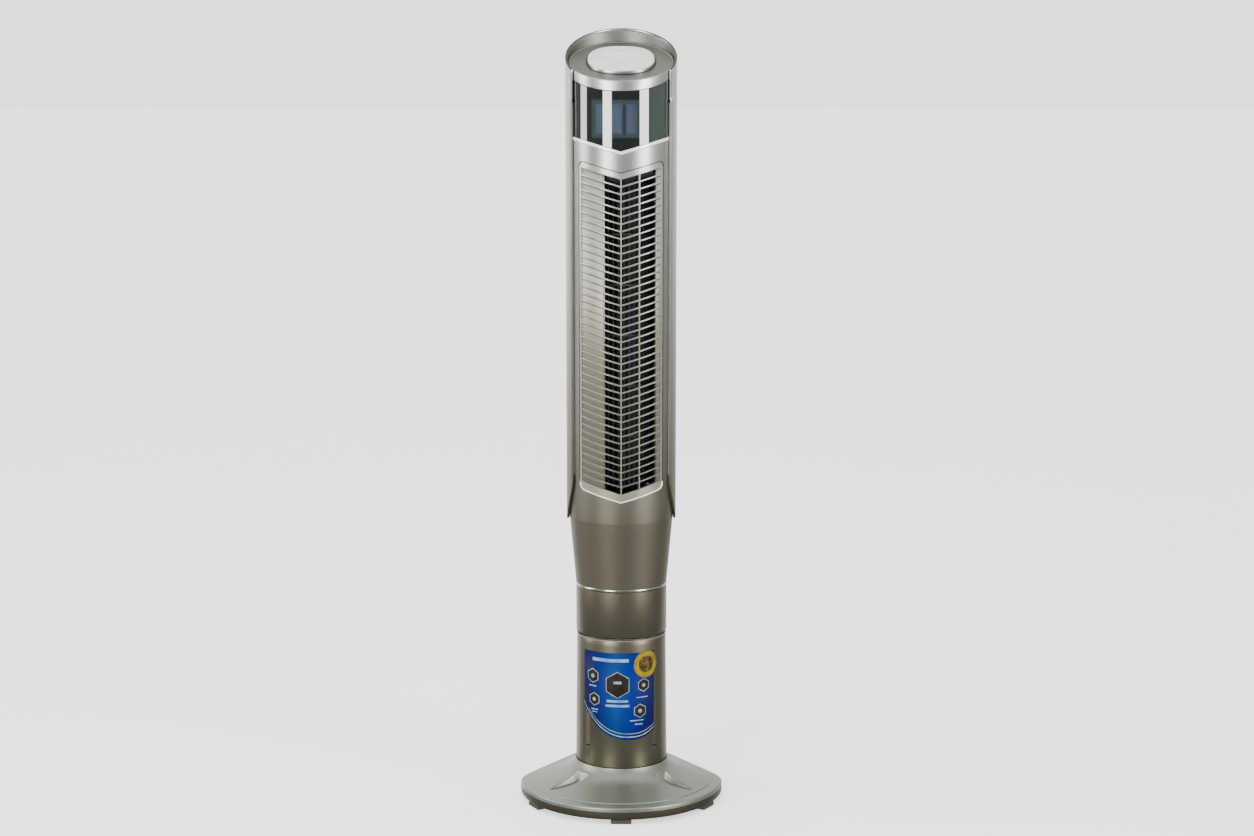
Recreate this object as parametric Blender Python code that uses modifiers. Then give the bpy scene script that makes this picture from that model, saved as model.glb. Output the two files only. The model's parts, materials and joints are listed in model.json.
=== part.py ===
"""Tower fan on a rounded base: a column, a swinging fan head with a V-slatted outlet grille,
a cross-flow impeller, a display window and a tilted top panel with push buttons.

Units are metres. The front of the fan faces -Y, +Z is up, and the origin is on the floor
under the centre of the base. Angles called "turn" are measured in plan from the front,
positive towards +X.
"""
import math

import bmesh
import bpy
from mathutils import Matrix, Vector

# ---------------------------------------------------------------- driving dimensions
GAP = 0.0003                    # space between pieces that touch
SEGMENTS = 40                   # facets round the large visible pieces
HIDDEN_SEGMENTS = 20            # facets round the pieces inside

BASE_R = 0.1564                 # base rim
FOOT_H = 0.0070
BASE_PLATE_TOP = 0.0180         # where the dark band ends and the cover begins
BASE_FLOOR_T = 0.0030
BAND_INNER_R = 0.1532           # inside of the band round the base plate
BASE_FLAT_TURN = 123.7          # the base is flattened on both sides towards the back
BASE_FLAT_R = 0.1268            # from the axis to the middle of each flattened side
BASE_CORNER_POWER = 26          # the larger, the tighter the corners beside the flats
FOOT_SIZE = (0.0340, 0.0210, FOOT_H)
FOOT_ORBIT = 0.1440
FEET = ((0, FOOT_ORBIT), (60, FOOT_ORBIT), (BASE_FLAT_TURN, 0.1140),
        (180, FOOT_ORBIT), (360 - BASE_FLAT_TURN, 0.1140), (300, FOOT_ORBIT))
SOCKET_R = 0.0640
COLUMN_SCREW_ORBIT = 0.0540
GLAND_Z = 0.0138

COLUMN_BOTTOM = 0.0595
COLUMN_TOP = 0.2582
COLUMN_R_BOTTOM = 0.0699
COLUMN_R_TOP = 0.0678
COLUMN_WALL = 0.0022

SEAM_TOP = 0.2613               # lower edge of the swinging neck
NECK_R = 0.0690
NECK_TOP = 0.3313
CHROME_RING_H = 0.0048

BODY_R = 0.0782                 # straight part of the fan head
BODY_WALL = 0.0025
CREASE_Z = 0.4365               # where the taper meets the straight part
REAR_R = 0.08275                # rear shell, outside
REAR_WALL = 0.0025
REAR_TIP_Z = 0.4350             # lowest point of the rear shell
REAR_EDGE_TURN = 63.0           # front edges of the rear shell
REAR_RIM_Z = 1.1260             # height of the slanted rim above the axis
REAR_RIM_SLOPE = 0.507

V_SLOPE = 0.285                 # rise of every V line per metre away from the middle
INSERT_BOTTOM = 0.4713
INSERT_TOP = 0.9586
INSERT_HALF_W = 0.0620
INSERT_GAP = 0.0008              # round the grille insert, whose facets are wider
SLAT_COUNT = 42
SLAT_H = 0.0032
SLAT_DEPTH = 0.0040
OUTLET_LEFT = -0.0247
OUTLET_RIGHT = 0.0520
RIB_HALF_W = 0.0011
SECOND_RIB_X = 0.0273
V_TRIM_BOTTOM = 0.9853
V_TRIM_H = 0.0048

TOP_TILT = math.radians(20.05)  # the top panel leans towards the user
TOP_SLOPE = math.tan(TOP_TILT)
TOP_PANEL_Z = 1.1200            # panel surface above the axis
TOP_RING_R = 0.0775
TOP_RING_WALL = 0.0020
TOP_RING_H = 0.0146
PANEL_R = 0.0745
PANEL_T = 0.0025
PAD_R = 0.0490
PAD_H = 0.0048
BUTTON_LOW = 0.0018              # a button's ends, above the panel
BUTTON_HIGH = 0.0050

IMPELLER_Y = 0.0160              # the drum's axis is behind the middle of the head
IMPELLER_R = 0.0440
IMPELLER_BOTTOM = 0.4870
IMPELLER_TOP = 0.9430
BLADE_COUNT = 16
BLADE_SWEEP = 0.16              # how far a blade leans round the drum, in radians
DISC_T = 0.0024
SHAFT_R = 0.0040
BEARING_R = 0.0080

GEAR_MODULE = 0.0020
RING_GEAR_TEETH = 48
PINION_TEETH = 12
SECTOR_TEETH_EACH_SIDE = 7      # either side of the middle one: enough for the swing
TOOTH_H = 1.95 * GEAR_MODULE
RING_GEAR_PITCH_R = GEAR_MODULE * RING_GEAR_TEETH / 2
PINION_PITCH_R = GEAR_MODULE * PINION_TEETH / 2
PINION_Y = RING_GEAR_PITCH_R - PINION_PITCH_R

# ---------------------------------------------------------------- materials
# slot name: sRGB colour, metallic, roughness
FINISHES = {
    "silver_paint": ((0.69, 0.69, 0.67), 0.85, 0.36),
    "titanium_paint": ((0.42, 0.40, 0.34), 0.85, 0.38),
    "chrome": ((0.88, 0.88, 0.86), 1.0, 0.08),
    "smoked_window": ((0.07, 0.08, 0.09), 0.0, 0.06),
    "light_pad": ((0.82, 0.83, 0.80), 0.0, 0.35),
    "panel_grey": ((0.45, 0.46, 0.41), 0.6, 0.40),
    "black_plastic": ((0.06, 0.06, 0.06), 0.0, 0.55),
    "natural_plastic": ((0.80, 0.79, 0.74), 0.0, 0.45),
    "steel": ((0.62, 0.62, 0.62), 1.0, 0.30),
    "cast_weight": ((0.18, 0.18, 0.18), 0.6, 0.70),
    "rubber": ((0.09, 0.09, 0.08), 0.0, 0.80),
    "circuit_board": ((0.05, 0.26, 0.12), 0.0, 0.50),
    "lcd_glass": ((0.20, 0.25, 0.29), 0.0, 0.10),
}


def linear(channel):
    """sRGB channel to linear light."""
    if channel <= 0.04045:
        return channel / 12.92
    return ((channel + 0.055) / 1.055) ** 2.4


def make_materials():
    made = {}
    for name, (colour, metallic, roughness) in FINISHES.items():
        material = bpy.data.materials.new(name)
        material.use_nodes = True
        shader = material.node_tree.nodes["Principled BSDF"]
        shader.inputs["Base Color"].default_value = (*[linear(c) for c in colour], 1.0)
        shader.inputs["Metallic"].default_value = metallic
        shader.inputs["Roughness"].default_value = roughness
        made[name] = material
    return made


# ---------------------------------------------------------------- scene and helpers
for old in list(bpy.data.objects):
    bpy.data.objects.remove(old, do_unlink=True)

fan = bpy.data.collections.new("tower_fan")
cutters = bpy.data.collections.new("cutters")
bpy.context.scene.collection.children.link(fan)
bpy.context.scene.collection.children.link(cutters)
MATERIALS = make_materials()


def add_object(name, mesh, finish, location=(0, 0, 0), smooth=True):
    """Put a mesh in the fan's collection with its finish."""
    mesh.materials.append(MATERIALS[finish])
    if smooth:
        mesh.shade_smooth()
        mesh.set_sharp_from_angle(angle=math.radians(35))
    thing = bpy.data.objects.new(name, mesh)
    thing.location = location
    fan.objects.link(thing)
    return thing


def mesh_from(bm, name):
    mesh = bpy.data.meshes.new(name)
    bm.to_mesh(mesh)
    bm.free()
    return mesh


def hide_as_cutter(thing):
    """Move an object to the cutters, where it only shapes other pieces."""
    for owner in list(thing.users_collection):
        owner.objects.unlink(thing)
    cutters.objects.link(thing)
    thing.hide_render = True
    thing.display_type = "WIRE"
    return thing


def boolean(thing, other, operation="DIFFERENCE"):
    modifier = thing.modifiers.new(other.name, "BOOLEAN")
    modifier.operation = operation
    modifier.solver = "EXACT"
    modifier.object = other


def turned(name, profile, finish, location=(0, 0, 0), segments=SEGMENTS):
    """A turned piece. The profile (radius, height) starts at the top and runs down its
    outer side; it is a closed loop unless its ends lie on the axis."""
    mesh = bpy.data.meshes.new(name)
    edges = [(i, i + 1) for i in range(len(profile) - 1)]
    if profile[-1][0] > 0:
        edges.append((len(profile) - 1, 0))
    mesh.from_pydata([(r, 0, z) for r, z in profile], edges, [])
    thing = add_object(name, mesh, finish, location, smooth=False)
    screw = thing.modifiers.new("turn", "SCREW")
    screw.steps = segments
    screw.render_steps = segments
    screw.use_merge_vertices = True
    screw.merge_threshold = 0.00001
    screw.use_smooth_shade = False
    return thing


def ring_profile(inner, outer, bottom, top):
    """A plain ring's section, for turned()."""
    return [(inner, top), (outer, top), (outer, bottom), (inner, bottom)]


def disc_profile(radius, bottom, top):
    """A plain disc's section, for turned()."""
    return [(0, top), (radius, top), (radius, bottom), (0, bottom)]


def box(name, size, centre, finish, bevel=0.0, spin=0.0):
    """A block, with optional rounded edges and a turn about Z in degrees."""
    bm = bmesh.new()
    bmesh.ops.create_cube(bm, size=1.0)
    bmesh.ops.scale(bm, vec=size, verts=bm.verts)
    thing = add_object(name, mesh_from(bm, name), finish, centre, smooth=False)
    thing.rotation_euler.z = math.radians(spin)
    if bevel:
        rounding = thing.modifiers.new("rounding", "BEVEL")
        rounding.width = bevel
        rounding.segments = 1
    return thing


def cylinder(name, radius, depth, centre, finish, segments=16):
    bm = bmesh.new()
    bmesh.ops.create_cone(bm, cap_ends=True, segments=segments, radius1=radius,
                          radius2=radius, depth=depth)
    return add_object(name, mesh_from(bm, name), finish, centre, smooth=False)


def on_cylinder(radius, turn, z):
    """The point at a radius and a turn from the front, in degrees."""
    angle = math.radians(turn)
    return Vector((radius * math.sin(angle), -radius * math.cos(angle), z))


def turn_at(x, radius):
    """The turn at which a front surface of this radius has this x."""
    return math.degrees(math.asin(x / radius))


def curved_sheet(name, turns, rows, place, finish, wall, is_open=None):
    """A shell with a wall to the inside: a grid with a column at each turn and a row for
    each entry of rows, moved to place(turn, row), with some of its cells left open."""
    bm = bmesh.new()
    columns = len(turns) - 1
    bmesh.ops.create_grid(bm, x_segments=columns, y_segments=len(rows) - 1, size=1.0)
    bm.verts.ensure_lookup_table()
    bm.faces.ensure_lookup_table()
    holes = []
    for face in bm.faces:
        corner = min(vert.index for vert in face.verts)
        column = corner % (columns + 1)
        row = corner // (columns + 1)
        middle = (turns[column] + turns[column + 1]) / 2
        if is_open and is_open(middle, row):
            holes.append(face)
    for vert in bm.verts:
        turn = turns[vert.index % (columns + 1)]
        row = rows[vert.index // (columns + 1)]
        vert.co = place(turn, row)
    bmesh.ops.delete(bm, geom=holes, context="FACES")
    bmesh.ops.remove_doubles(bm, verts=bm.verts, dist=0.00001)
    thing = add_object(name, mesh_from(bm, name), finish)
    solid = thing.modifiers.new("wall", "SOLIDIFY")
    solid.thickness = wall
    solid.offset = -1.0
    solid.use_even_offset = True
    return thing


def steps(start, end, count):
    """Evenly spaced values from start to end, both included."""
    return [start + (end - start) * i / count for i in range(count + 1)]


def circle_outline(radius, count):
    return [(radius * math.cos(math.tau * i / count), radius * math.sin(math.tau * i / count))
            for i in range(count)]


def flat_outline(name, outlines, bottom, top, finish, location=(0, 0, 0)):
    """A flat piece cut to one or more outlines; an outline inside another is a hole."""
    curve = bpy.data.curves.new(name, "CURVE")
    curve.dimensions = "2D"
    curve.fill_mode = "BOTH"
    curve.extrude = (top - bottom) / 2
    for outline in outlines:
        spline = curve.splines.new("POLY")
        spline.points.add(len(outline) - 1)
        for point, (x, y) in zip(spline.points, outline):
            point.co = (x, y, 0, 1)
        spline.use_cyclic_u = True
    curve.materials.append(MATERIALS[finish])
    thing = bpy.data.objects.new(name, curve)
    thing.location = Vector(location) + Vector((0, 0, (top + bottom) / 2))
    fan.objects.link(thing)
    return thing


def as_mesh(thing):
    """Replace a curve object by its welded mesh, so that it can be cut or joined."""
    bpy.context.view_layer.update()
    depsgraph = bpy.context.evaluated_depsgraph_get()
    mesh = bpy.data.meshes.new_from_object(thing.evaluated_get(depsgraph))
    bm = bmesh.new()
    bm.from_mesh(mesh)
    bmesh.ops.remove_doubles(bm, verts=bm.verts, dist=0.00001)
    bm.to_mesh(mesh)
    bm.free()
    name = thing.name
    copy = bpy.data.objects.new(name + "_mesh", mesh)
    copy.matrix_world = thing.matrix_world
    fan.objects.link(copy)
    bpy.data.objects.remove(thing, do_unlink=True)
    copy.name = name
    return copy


# ---------------------------------------------------------------- base
SCOOP_TURN = 55.0               # each side of the front
SCOOP_HALF_TURN = 11.0
SCOOP_INNER_R = 0.0840
SCOOP_OUTER_R = 0.1260
SCOOP_DEPTH = 0.0060
COVER_PROFILE = [(0.0712, 0.0592), (0.0760, 0.0520), (0.0840, 0.0452), (0.0900, 0.0420),
                 (0.1080, 0.0362), (0.1417, 0.0278), (0.1520, 0.0256),
                 (0.1562, 0.0212), (0.1562, BASE_PLATE_TOP + GAP)]
COVER_WALL = 0.0025


def base_spot(radius, turn, height):
    """A point of the base, whose radii shrink towards the flattened sides outside the
    cover's inner edge."""
    from_front = abs((turn + 180) % 360 - 180)
    facing = max(math.cos(math.radians(from_front - BASE_FLAT_TURN)), 0.0)
    flat = facing * BASE_R / BASE_FLAT_R
    rim = BASE_R * (1 + flat ** BASE_CORNER_POWER) ** (-1 / BASE_CORNER_POWER)
    inner = COVER_PROFILE[0][0]
    if radius > inner:
        radius = inner + (radius - inner) * (rim - inner) / (BASE_R - inner)
    return on_cylinder(radius, turn, height)


def scoop_depth(radius, turn):
    """How far the cover is pressed in: two hollows, deep next to the column."""
    from_front = abs((turn + 180) % 360 - 180)
    off_axis = abs(from_front - SCOOP_TURN)
    if off_axis >= SCOOP_HALF_TURN or not SCOOP_INNER_R < radius < SCOOP_OUTER_R:
        return 0.0
    across = 1 - (off_axis / SCOOP_HALF_TURN) ** 2
    along = (SCOOP_OUTER_R - radius) / (SCOOP_OUTER_R - SCOOP_INNER_R)
    return SCOOP_DEPTH * across * along


def cover_point(turn, row):
    radius, height = row
    return base_spot(radius, turn, height - scoop_depth(radius, turn))


def base_dish(name, profile, finish):
    """A solid with the outline of the base: rings of (radius, height), closed by a flat
    face on the first ring and on the last."""
    bm = bmesh.new()
    turns = steps(0, 360, SEGMENTS)[:-1]
    rings = [[bm.verts.new(base_spot(radius, turn, height)) for turn in turns]
             for radius, height in profile]
    for ring, following in zip(rings, rings[1:]):
        for k in range(SEGMENTS):
            after = (k + 1) % SEGMENTS
            bm.faces.new((ring[k], ring[after], following[after], following[k]))
    bm.faces.new(rings[0])
    bm.faces.new(rings[-1])
    bmesh.ops.recalc_face_normals(bm, faces=bm.faces)
    return add_object(name, mesh_from(bm, name), finish, smooth=False)


def build_base():
    plate_bottom = FOOT_H + GAP
    floor_top = plate_bottom + BASE_FLOOR_T
    plate = base_dish("base_plate", [
        (BAND_INNER_R, floor_top), (BAND_INNER_R, BASE_PLATE_TOP),
        (BASE_R - 0.0002, BASE_PLATE_TOP), (BASE_R, 0.0150), (BASE_R - 0.0008, plate_bottom),
    ], "titanium_paint")

    cover_turns = steps(0, 360, SEGMENTS)
    curved_sheet("base_cover", cover_turns, list(reversed(COVER_PROFILE)), cover_point,
                 "silver_paint", COVER_WALL)

    turned("ballast_ring", ring_profile(0.0720, 0.1210, floor_top + GAP, floor_top + 0.010),
           "cast_weight", segments=HIDDEN_SEGMENTS)

    for number, (turn, orbit) in enumerate(FEET):
        spot = on_cylinder(orbit, turn, FOOT_H / 2)
        box("foot_%d" % (number + 1), FOOT_SIZE, spot, "rubber", bevel=0.0015, spin=turn)

    socket_bottom = floor_top + GAP
    socket = turned("column_socket", [
        (SOCKET_R - 0.0025, 0.0950), (SOCKET_R, 0.0950), (SOCKET_R, socket_bottom),
        (0.0450, socket_bottom), (0.0450, socket_bottom + 0.006),
        (SOCKET_R - 0.0025, socket_bottom + 0.006),
    ], "black_plastic", segments=HIDDEN_SEGMENTS)

    for number in range(3):
        spot = on_cylinder(COLUMN_SCREW_ORBIT, 60 + 120 * number, 0)
        hole = hide_as_cutter(cylinder("screw_hole_%d" % number, 0.0045, 0.020,
                                       spot + Vector((0, 0, 0.005)), "steel"))
        pilot = hide_as_cutter(cylinder("screw_pilot_%d" % number, 0.0024, 0.008,
                                        spot + Vector((0, 0, socket_bottom + 0.001)), "steel"))
        boolean(plate, hole)
        boolean(socket, pilot)
        turned("column_screw_%d" % (number + 1), [
            (0, socket_bottom + 0.0045), (0.0020, socket_bottom + 0.0045),
            (0.0020, socket_bottom - GAP), (0.0041, socket_bottom - GAP),
            (0.0041, plate_bottom + 0.0006), (0, plate_bottom + 0.0006),
        ], "steel", location=spot, segments=12)

    gland_hole = hide_as_cutter(cylinder("gland_hole", 0.0034, 0.020, (0, 0.1545, GLAND_Z),
                                         "rubber"))
    gland_hole.rotation_euler.x = math.radians(90)
    boolean(plate, gland_hole)
    gland = turned("cord_gland", ring_profile(0.0024, 0.0031, 0, 0.0075), "rubber",
                   location=(0, 0.1558, GLAND_Z), segments=16)
    gland.rotation_euler.x = math.radians(90)


def build_column():
    tube = turned("column_tube", [
        (COLUMN_R_TOP - COLUMN_WALL, COLUMN_TOP), (COLUMN_R_TOP - 0.0006, COLUMN_TOP),
        (COLUMN_R_TOP, COLUMN_TOP - 0.0006), (COLUMN_R_BOTTOM, COLUMN_BOTTOM),
        (COLUMN_R_BOTTOM - COLUMN_WALL, COLUMN_BOTTOM),
    ], "titanium_paint")
    for side in (-1, 1):
        slot = box("clip_slot_%s" % ("left" if side < 0 else "right"), (0.009, 0.012, 0.0020),
                   on_cylinder(COLUMN_R_BOTTOM, 47 * side, 0.0900), "steel", spin=47 * side)
        boolean(tube, hide_as_cutter(slot))

    cap_r = COLUMN_R_TOP - COLUMN_WALL - GAP
    turned("column_cap", [
        (0, 0.2460), (cap_r, 0.2460), (cap_r, 0.2260), (cap_r - 0.003, 0.2260),
        (cap_r - 0.003, 0.2430), (0, 0.2430),
    ], "black_plastic", segments=HIDDEN_SEGMENTS)
    deck = 0.2460 + GAP
    turned("pivot_post", [
        (0.0070, 0.2840), (0.0110, 0.2840), (0.0110, deck + 0.003), (0.0180, deck + 0.003),
        (0.0180, deck), (0.0070, deck),
    ], "steel", segments=HIDDEN_SEGMENTS)
    turned("retaining_ring", ring_profile(0.0110 + GAP, 0.0170, 0.2755, 0.2780), "steel",
           segments=HIDDEN_SEGMENTS)
    turned("glide_ring", ring_profile(0.0580, 0.0640, deck, 0.2587), "natural_plastic",
           segments=HIDDEN_SEGMENTS)
    return deck


def tooth(middle, pitch_r, height, root_half, tip_half):
    """One straight-sided tooth as four points; a negative height points it inwards."""
    root_r = pitch_r - 0.56 * height
    tip_r = pitch_r + 0.44 * height
    corners = ((root_r, -root_half), (tip_r, -tip_half), (tip_r, tip_half), (root_r, root_half))
    return [(radius * math.cos(middle + offset), radius * math.sin(middle + offset))
            for radius, offset in corners]


def pinion_outline():
    pitch = math.tau / PINION_TEETH
    points = []
    for number in range(PINION_TEETH):
        middle = math.pi / 2 + (number + 0.5) * pitch
        points += tooth(middle, PINION_PITCH_R, TOOTH_H, 0.24 * pitch, 0.12 * pitch)
    return points


def sector_outline():
    """The inside of the fixed gear: teeth over the sector that the pinion travels, and a
    plain arc at the root circle over the rest."""
    pitch = math.tau / RING_GEAR_TEETH
    points = []
    for number in range(-SECTOR_TEETH_EACH_SIDE, SECTOR_TEETH_EACH_SIDE + 1):
        middle = math.pi / 2 + number * pitch
        points += tooth(middle, RING_GEAR_PITCH_R, -TOOTH_H, 0.24 * pitch, 0.12 * pitch)
    toothed = (2 * SECTOR_TEETH_EACH_SIDE + 1) * pitch
    start = math.pi / 2 + toothed / 2
    plain_r = RING_GEAR_PITCH_R + 0.56 * TOOTH_H
    for angle in steps(start, start + math.tau - toothed, 14):
        points.append((plain_r * math.cos(angle), plain_r * math.sin(angle)))
    return points


def build_oscillation(deck):
    flat_outline("sector_gear", [circle_outline(0.0560, HIDDEN_SEGMENTS), sector_outline()],
                 deck, 0.2520, "natural_plastic")
    flat_outline("oscillation_pinion", [pinion_outline(), circle_outline(0.0028, 12)],
                 deck + GAP, 0.2520, "natural_plastic", location=(0, PINION_Y, 0))
    turned("oscillation_shaft", disc_profile(0.0025, deck + GAP, 0.2680), "steel",
           location=(0, PINION_Y, 0), segments=16)

    table = turned("turntable", [
        (0.0133, 0.2750), (0.0180, 0.2750), (0.0180, 0.2625), (0.0664, 0.2625),
        (0.0664, 0.2590), (0.0133, 0.2590),
    ], "black_plastic", segments=HIDDEN_SEGMENTS)
    shaft_hole = hide_as_cutter(cylinder("shaft_hole", 0.0032, 0.020, (0, PINION_Y, 0.2600),
                                         "steel"))
    boolean(table, shaft_hole)
    turned("pivot_bush", ring_profile(0.0110 + GAP, 0.0130, 0.2590, 0.2750),
           "natural_plastic", segments=HIDDEN_SEGMENTS)
    turned("oscillation_motor", [
        (0, 0.2820), (0.0140, 0.2820), (0.0140, 0.2628), (0.0029, 0.2628),
        (0.0029, 0.2700), (0, 0.2700),
    ], "steel", location=(0, PINION_Y, 0), segments=24)


def build_neck():
    turned("neck_sleeve", [
        (NECK_R - BODY_WALL + GAP, NECK_TOP), (NECK_R, NECK_TOP), (NECK_R, SEAM_TOP),
        (NECK_R - BODY_WALL + GAP, SEAM_TOP),
    ], "titanium_paint")
    ring_bottom = NECK_TOP + GAP
    turned("chrome_ring", [
        (NECK_R - BODY_WALL, ring_bottom + CHROME_RING_H),
        (NECK_R - 0.0004, ring_bottom + CHROME_RING_H),
        (NECK_R + 0.0004, ring_bottom + CHROME_RING_H / 2),
        (NECK_R - 0.0004, ring_bottom), (NECK_R - BODY_WALL, ring_bottom),
    ], "chrome")
    turned("head_deck", ring_profile(0.0200, NECK_R - BODY_WALL - 0.001, 0.3400, 0.3430),
           "black_plastic", segments=HIDDEN_SEGMENTS)


# ---------------------------------------------------------------- fan head shells
def v_line(x, height_in_middle):
    """Height of a V line: lowest in the middle, rising to both sides."""
    return height_in_middle + V_SLOPE * abs(x)


def shell_point(turn, row):
    """A point of the front shell; a row is (radius, height, how much of the V it follows)."""
    radius, height, v_share = row
    spot = on_cylinder(radius, turn, height)
    spot.z += v_share * V_SLOPE * abs(spot.x)
    return spot


def build_front_shell():
    insert_turn = turn_at(INSERT_HALF_W + INSERT_GAP, BODY_R)
    front_half = [0, 8, 16, 24, 32, 40, 47, insert_turn, 60, 68, 76, 84, 92, 100]
    back_half = steps(110, 180, 7)
    half = front_half + back_half
    turns = [-t for t in reversed(half)] + half[1:]
    rows = [
        (NECK_R, NECK_TOP + CHROME_RING_H + 2 * GAP, 0.0),
        (BODY_R, CREASE_Z, 0.0),
        (BODY_R, CREASE_Z + 0.0060, 0.0),
        (BODY_R, INSERT_BOTTOM - INSERT_GAP, 1.0),
        (BODY_R, INSERT_TOP + INSERT_GAP, 1.0),
        (BODY_R, V_TRIM_BOTTOM - GAP, 1.0),
    ]

    def is_open(turn, row):
        in_insert = abs(turn) < insert_turn and row == 3
        behind = abs(turn) > 100 and row >= 2
        return in_insert or behind

    curved_sheet("front_shell", turns, rows, shell_point, "silver_paint", BODY_WALL, is_open)

    v_turns = steps(-66, 66, 22)
    curved_sheet("chrome_v_trim", v_turns,
                 [(BODY_R + 0.0006, V_TRIM_BOTTOM, 1.0),
                  (BODY_R + 0.0006, V_TRIM_BOTTOM + V_TRIM_H, 1.0)],
                 shell_point, "chrome", 0.0028)


def slanted(x_y_point, height_on_axis):
    """Height of the slanted top planes above a point in plan."""
    return height_on_axis + TOP_SLOPE * x_y_point.y


def build_window():
    bottom = V_TRIM_BOTTOM + V_TRIM_H + GAP
    top_on_axis = TOP_PANEL_Z - TOP_RING_H - GAP

    def window_point(turn, row):
        spot = on_cylinder(BODY_R - 0.0004, turn, 0)
        low = v_line(spot.x, bottom)
        high = slanted(spot, top_on_axis)
        spot.z = low + (high - low) * row
        return spot

    curved_sheet("display_window", steps(-66, 66, 22), [0, 1], window_point,
                 "smoked_window", 0.0022)


def build_grille_insert():
    radius = BODY_R - 0.0004
    x_lines = [-INSERT_HALF_W, -0.0440, OUTLET_LEFT, -RIB_HALF_W, RIB_HALF_W,
               SECOND_RIB_X - RIB_HALF_W, SECOND_RIB_X + RIB_HALF_W, OUTLET_RIGHT,
               INSERT_HALF_W]
    turns = [turn_at(x, BODY_R) for x in x_lines]
    border = 0.0120
    first = INSERT_BOTTOM + border
    pitch = (INSERT_TOP - border * 0.75 - first) / (SLAT_COUNT + 1)
    rows = [(radius, INSERT_BOTTOM, 1.0)]
    for number in range(SLAT_COUNT + 1):
        low = first + number * pitch
        rows.append((radius, low, 1.0))
        rows.append((radius, low + pitch - SLAT_H, 1.0))
    rows.append((radius, INSERT_TOP, 1.0))

    def is_open(turn, row):
        x = BODY_R * math.sin(math.radians(turn))
        on_rib = abs(x) < RIB_HALF_W or abs(x - SECOND_RIB_X) < RIB_HALF_W
        in_outlet = OUTLET_LEFT < x < OUTLET_RIGHT
        return row % 2 == 1 and in_outlet and not on_rib

    curved_sheet("grille_insert", turns, rows, shell_point, "silver_paint", SLAT_DEPTH, is_open)


# ---------------------------------------------------------------- rear shell
INTAKE_HALF_TURN = 42.0
INTAKE_BOTTOM = 0.5000
INTAKE_TOP = 0.9500
INTAKE_SLOTS = 24
INTAKE_BAYS = 3
INTAKE_BAR_TURN = 1.0            # width of the upright bars between the bays
HANDLE_HALF_W = 0.0460
HANDLE_BOTTOM = 1.0150
HANDLE_TOP = 1.0560
HANDLE_FRONT_Y = 0.0480         # the bottom of the pocket
HANDLE_WALL = 0.0022
SCREW_TURN = 30.0               # rear screws, either side of the back
SCREW_HEIGHTS = (0.4700, 0.9850)


def rear_edge_turn(height):
    """Front edge of the rear shell: straight, then swept back into a tip at the bottom."""
    sweep_start = 0.4950
    if height >= sweep_start:
        return REAR_EDGE_TURN
    share = (sweep_start - height) / (sweep_start - REAR_TIP_Z)
    return REAR_EDGE_TURN + 22 * share ** 1.3


def build_rear_shell():
    intake_edge = 180 - INTAKE_HALF_TURN
    edge_share = [0, 0.06, 0.2, 0.36, 0.52, 0.68, 0.84, 1]
    back = steps(intake_edge, 360 - intake_edge, 10)
    heights = [REAR_TIP_Z, 0.4480, 0.4620, 0.4780, 0.4950, INTAKE_BOTTOM, INTAKE_TOP, 1.0650,
               "rim"]
    columns = ([("side", s) for s in edge_share[:-1]] + [("back", t) for t in back]
               + [("mirror", s) for s in reversed(edge_share[:-1])])

    def turn_of(column, height):
        kind, value = column
        edge = rear_edge_turn(height)
        if kind == "back":
            return value
        turn = edge + (intake_edge - edge) * value
        return turn if kind == "side" else 360 - turn

    def place(column_turn, height):
        column = columns[int(round(column_turn))]
        if height == "rim":
            spot = on_cylinder(REAR_R, turn_of(column, 1.0), 0)
            spot.z = REAR_RIM_Z + REAR_RIM_SLOPE * spot.y
            return spot
        return on_cylinder(REAR_R, turn_of(column, height), height)

    first_back = len(edge_share) - 1
    last_back = first_back + len(back) - 1

    def is_open(column_middle, row):
        return row == 5 and first_back < column_middle < last_back

    shell = curved_sheet("rear_shell", list(range(len(columns))), heights, place,
                         "silver_paint", REAR_WALL, is_open)

    turns = [intake_edge + 0.25]
    bars = (INTAKE_BAYS + 1) * INTAKE_BAR_TURN
    bay_turn = (2 * INTAKE_HALF_TURN - bars) / INTAKE_BAYS
    for bay in range(INTAKE_BAYS):
        start = intake_edge + INTAKE_BAR_TURN + bay * (bay_turn + INTAKE_BAR_TURN)
        turns += [start, start + bay_turn / 2, start + bay_turn]
    turns.append(360 - intake_edge - 0.25)
    rows = [INTAKE_BOTTOM + GAP]
    pitch = (INTAKE_TOP - INTAKE_BOTTOM - 0.010) / INTAKE_SLOTS
    for slot in range(INTAKE_SLOTS):
        low = INTAKE_BOTTOM + 0.0065 + slot * pitch
        rows += [low, low + pitch - 0.0035]
    rows.append(INTAKE_TOP - GAP)

    def slot_open(turn, row):
        half_bar = INTAKE_BAR_TURN / 2
        bar = any(abs(turn - (intake_edge + half_bar + bay * (bay_turn + INTAKE_BAR_TURN)))
                  < half_bar + 0.01 for bay in range(INTAKE_BAYS + 1))
        return row % 2 == 1 and not bar

    curved_sheet("intake_grille", turns, rows,
                 lambda turn, z: on_cylinder(REAR_R - 0.0003, turn, z),
                 "silver_paint", 0.0024, slot_open)
    return shell


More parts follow.
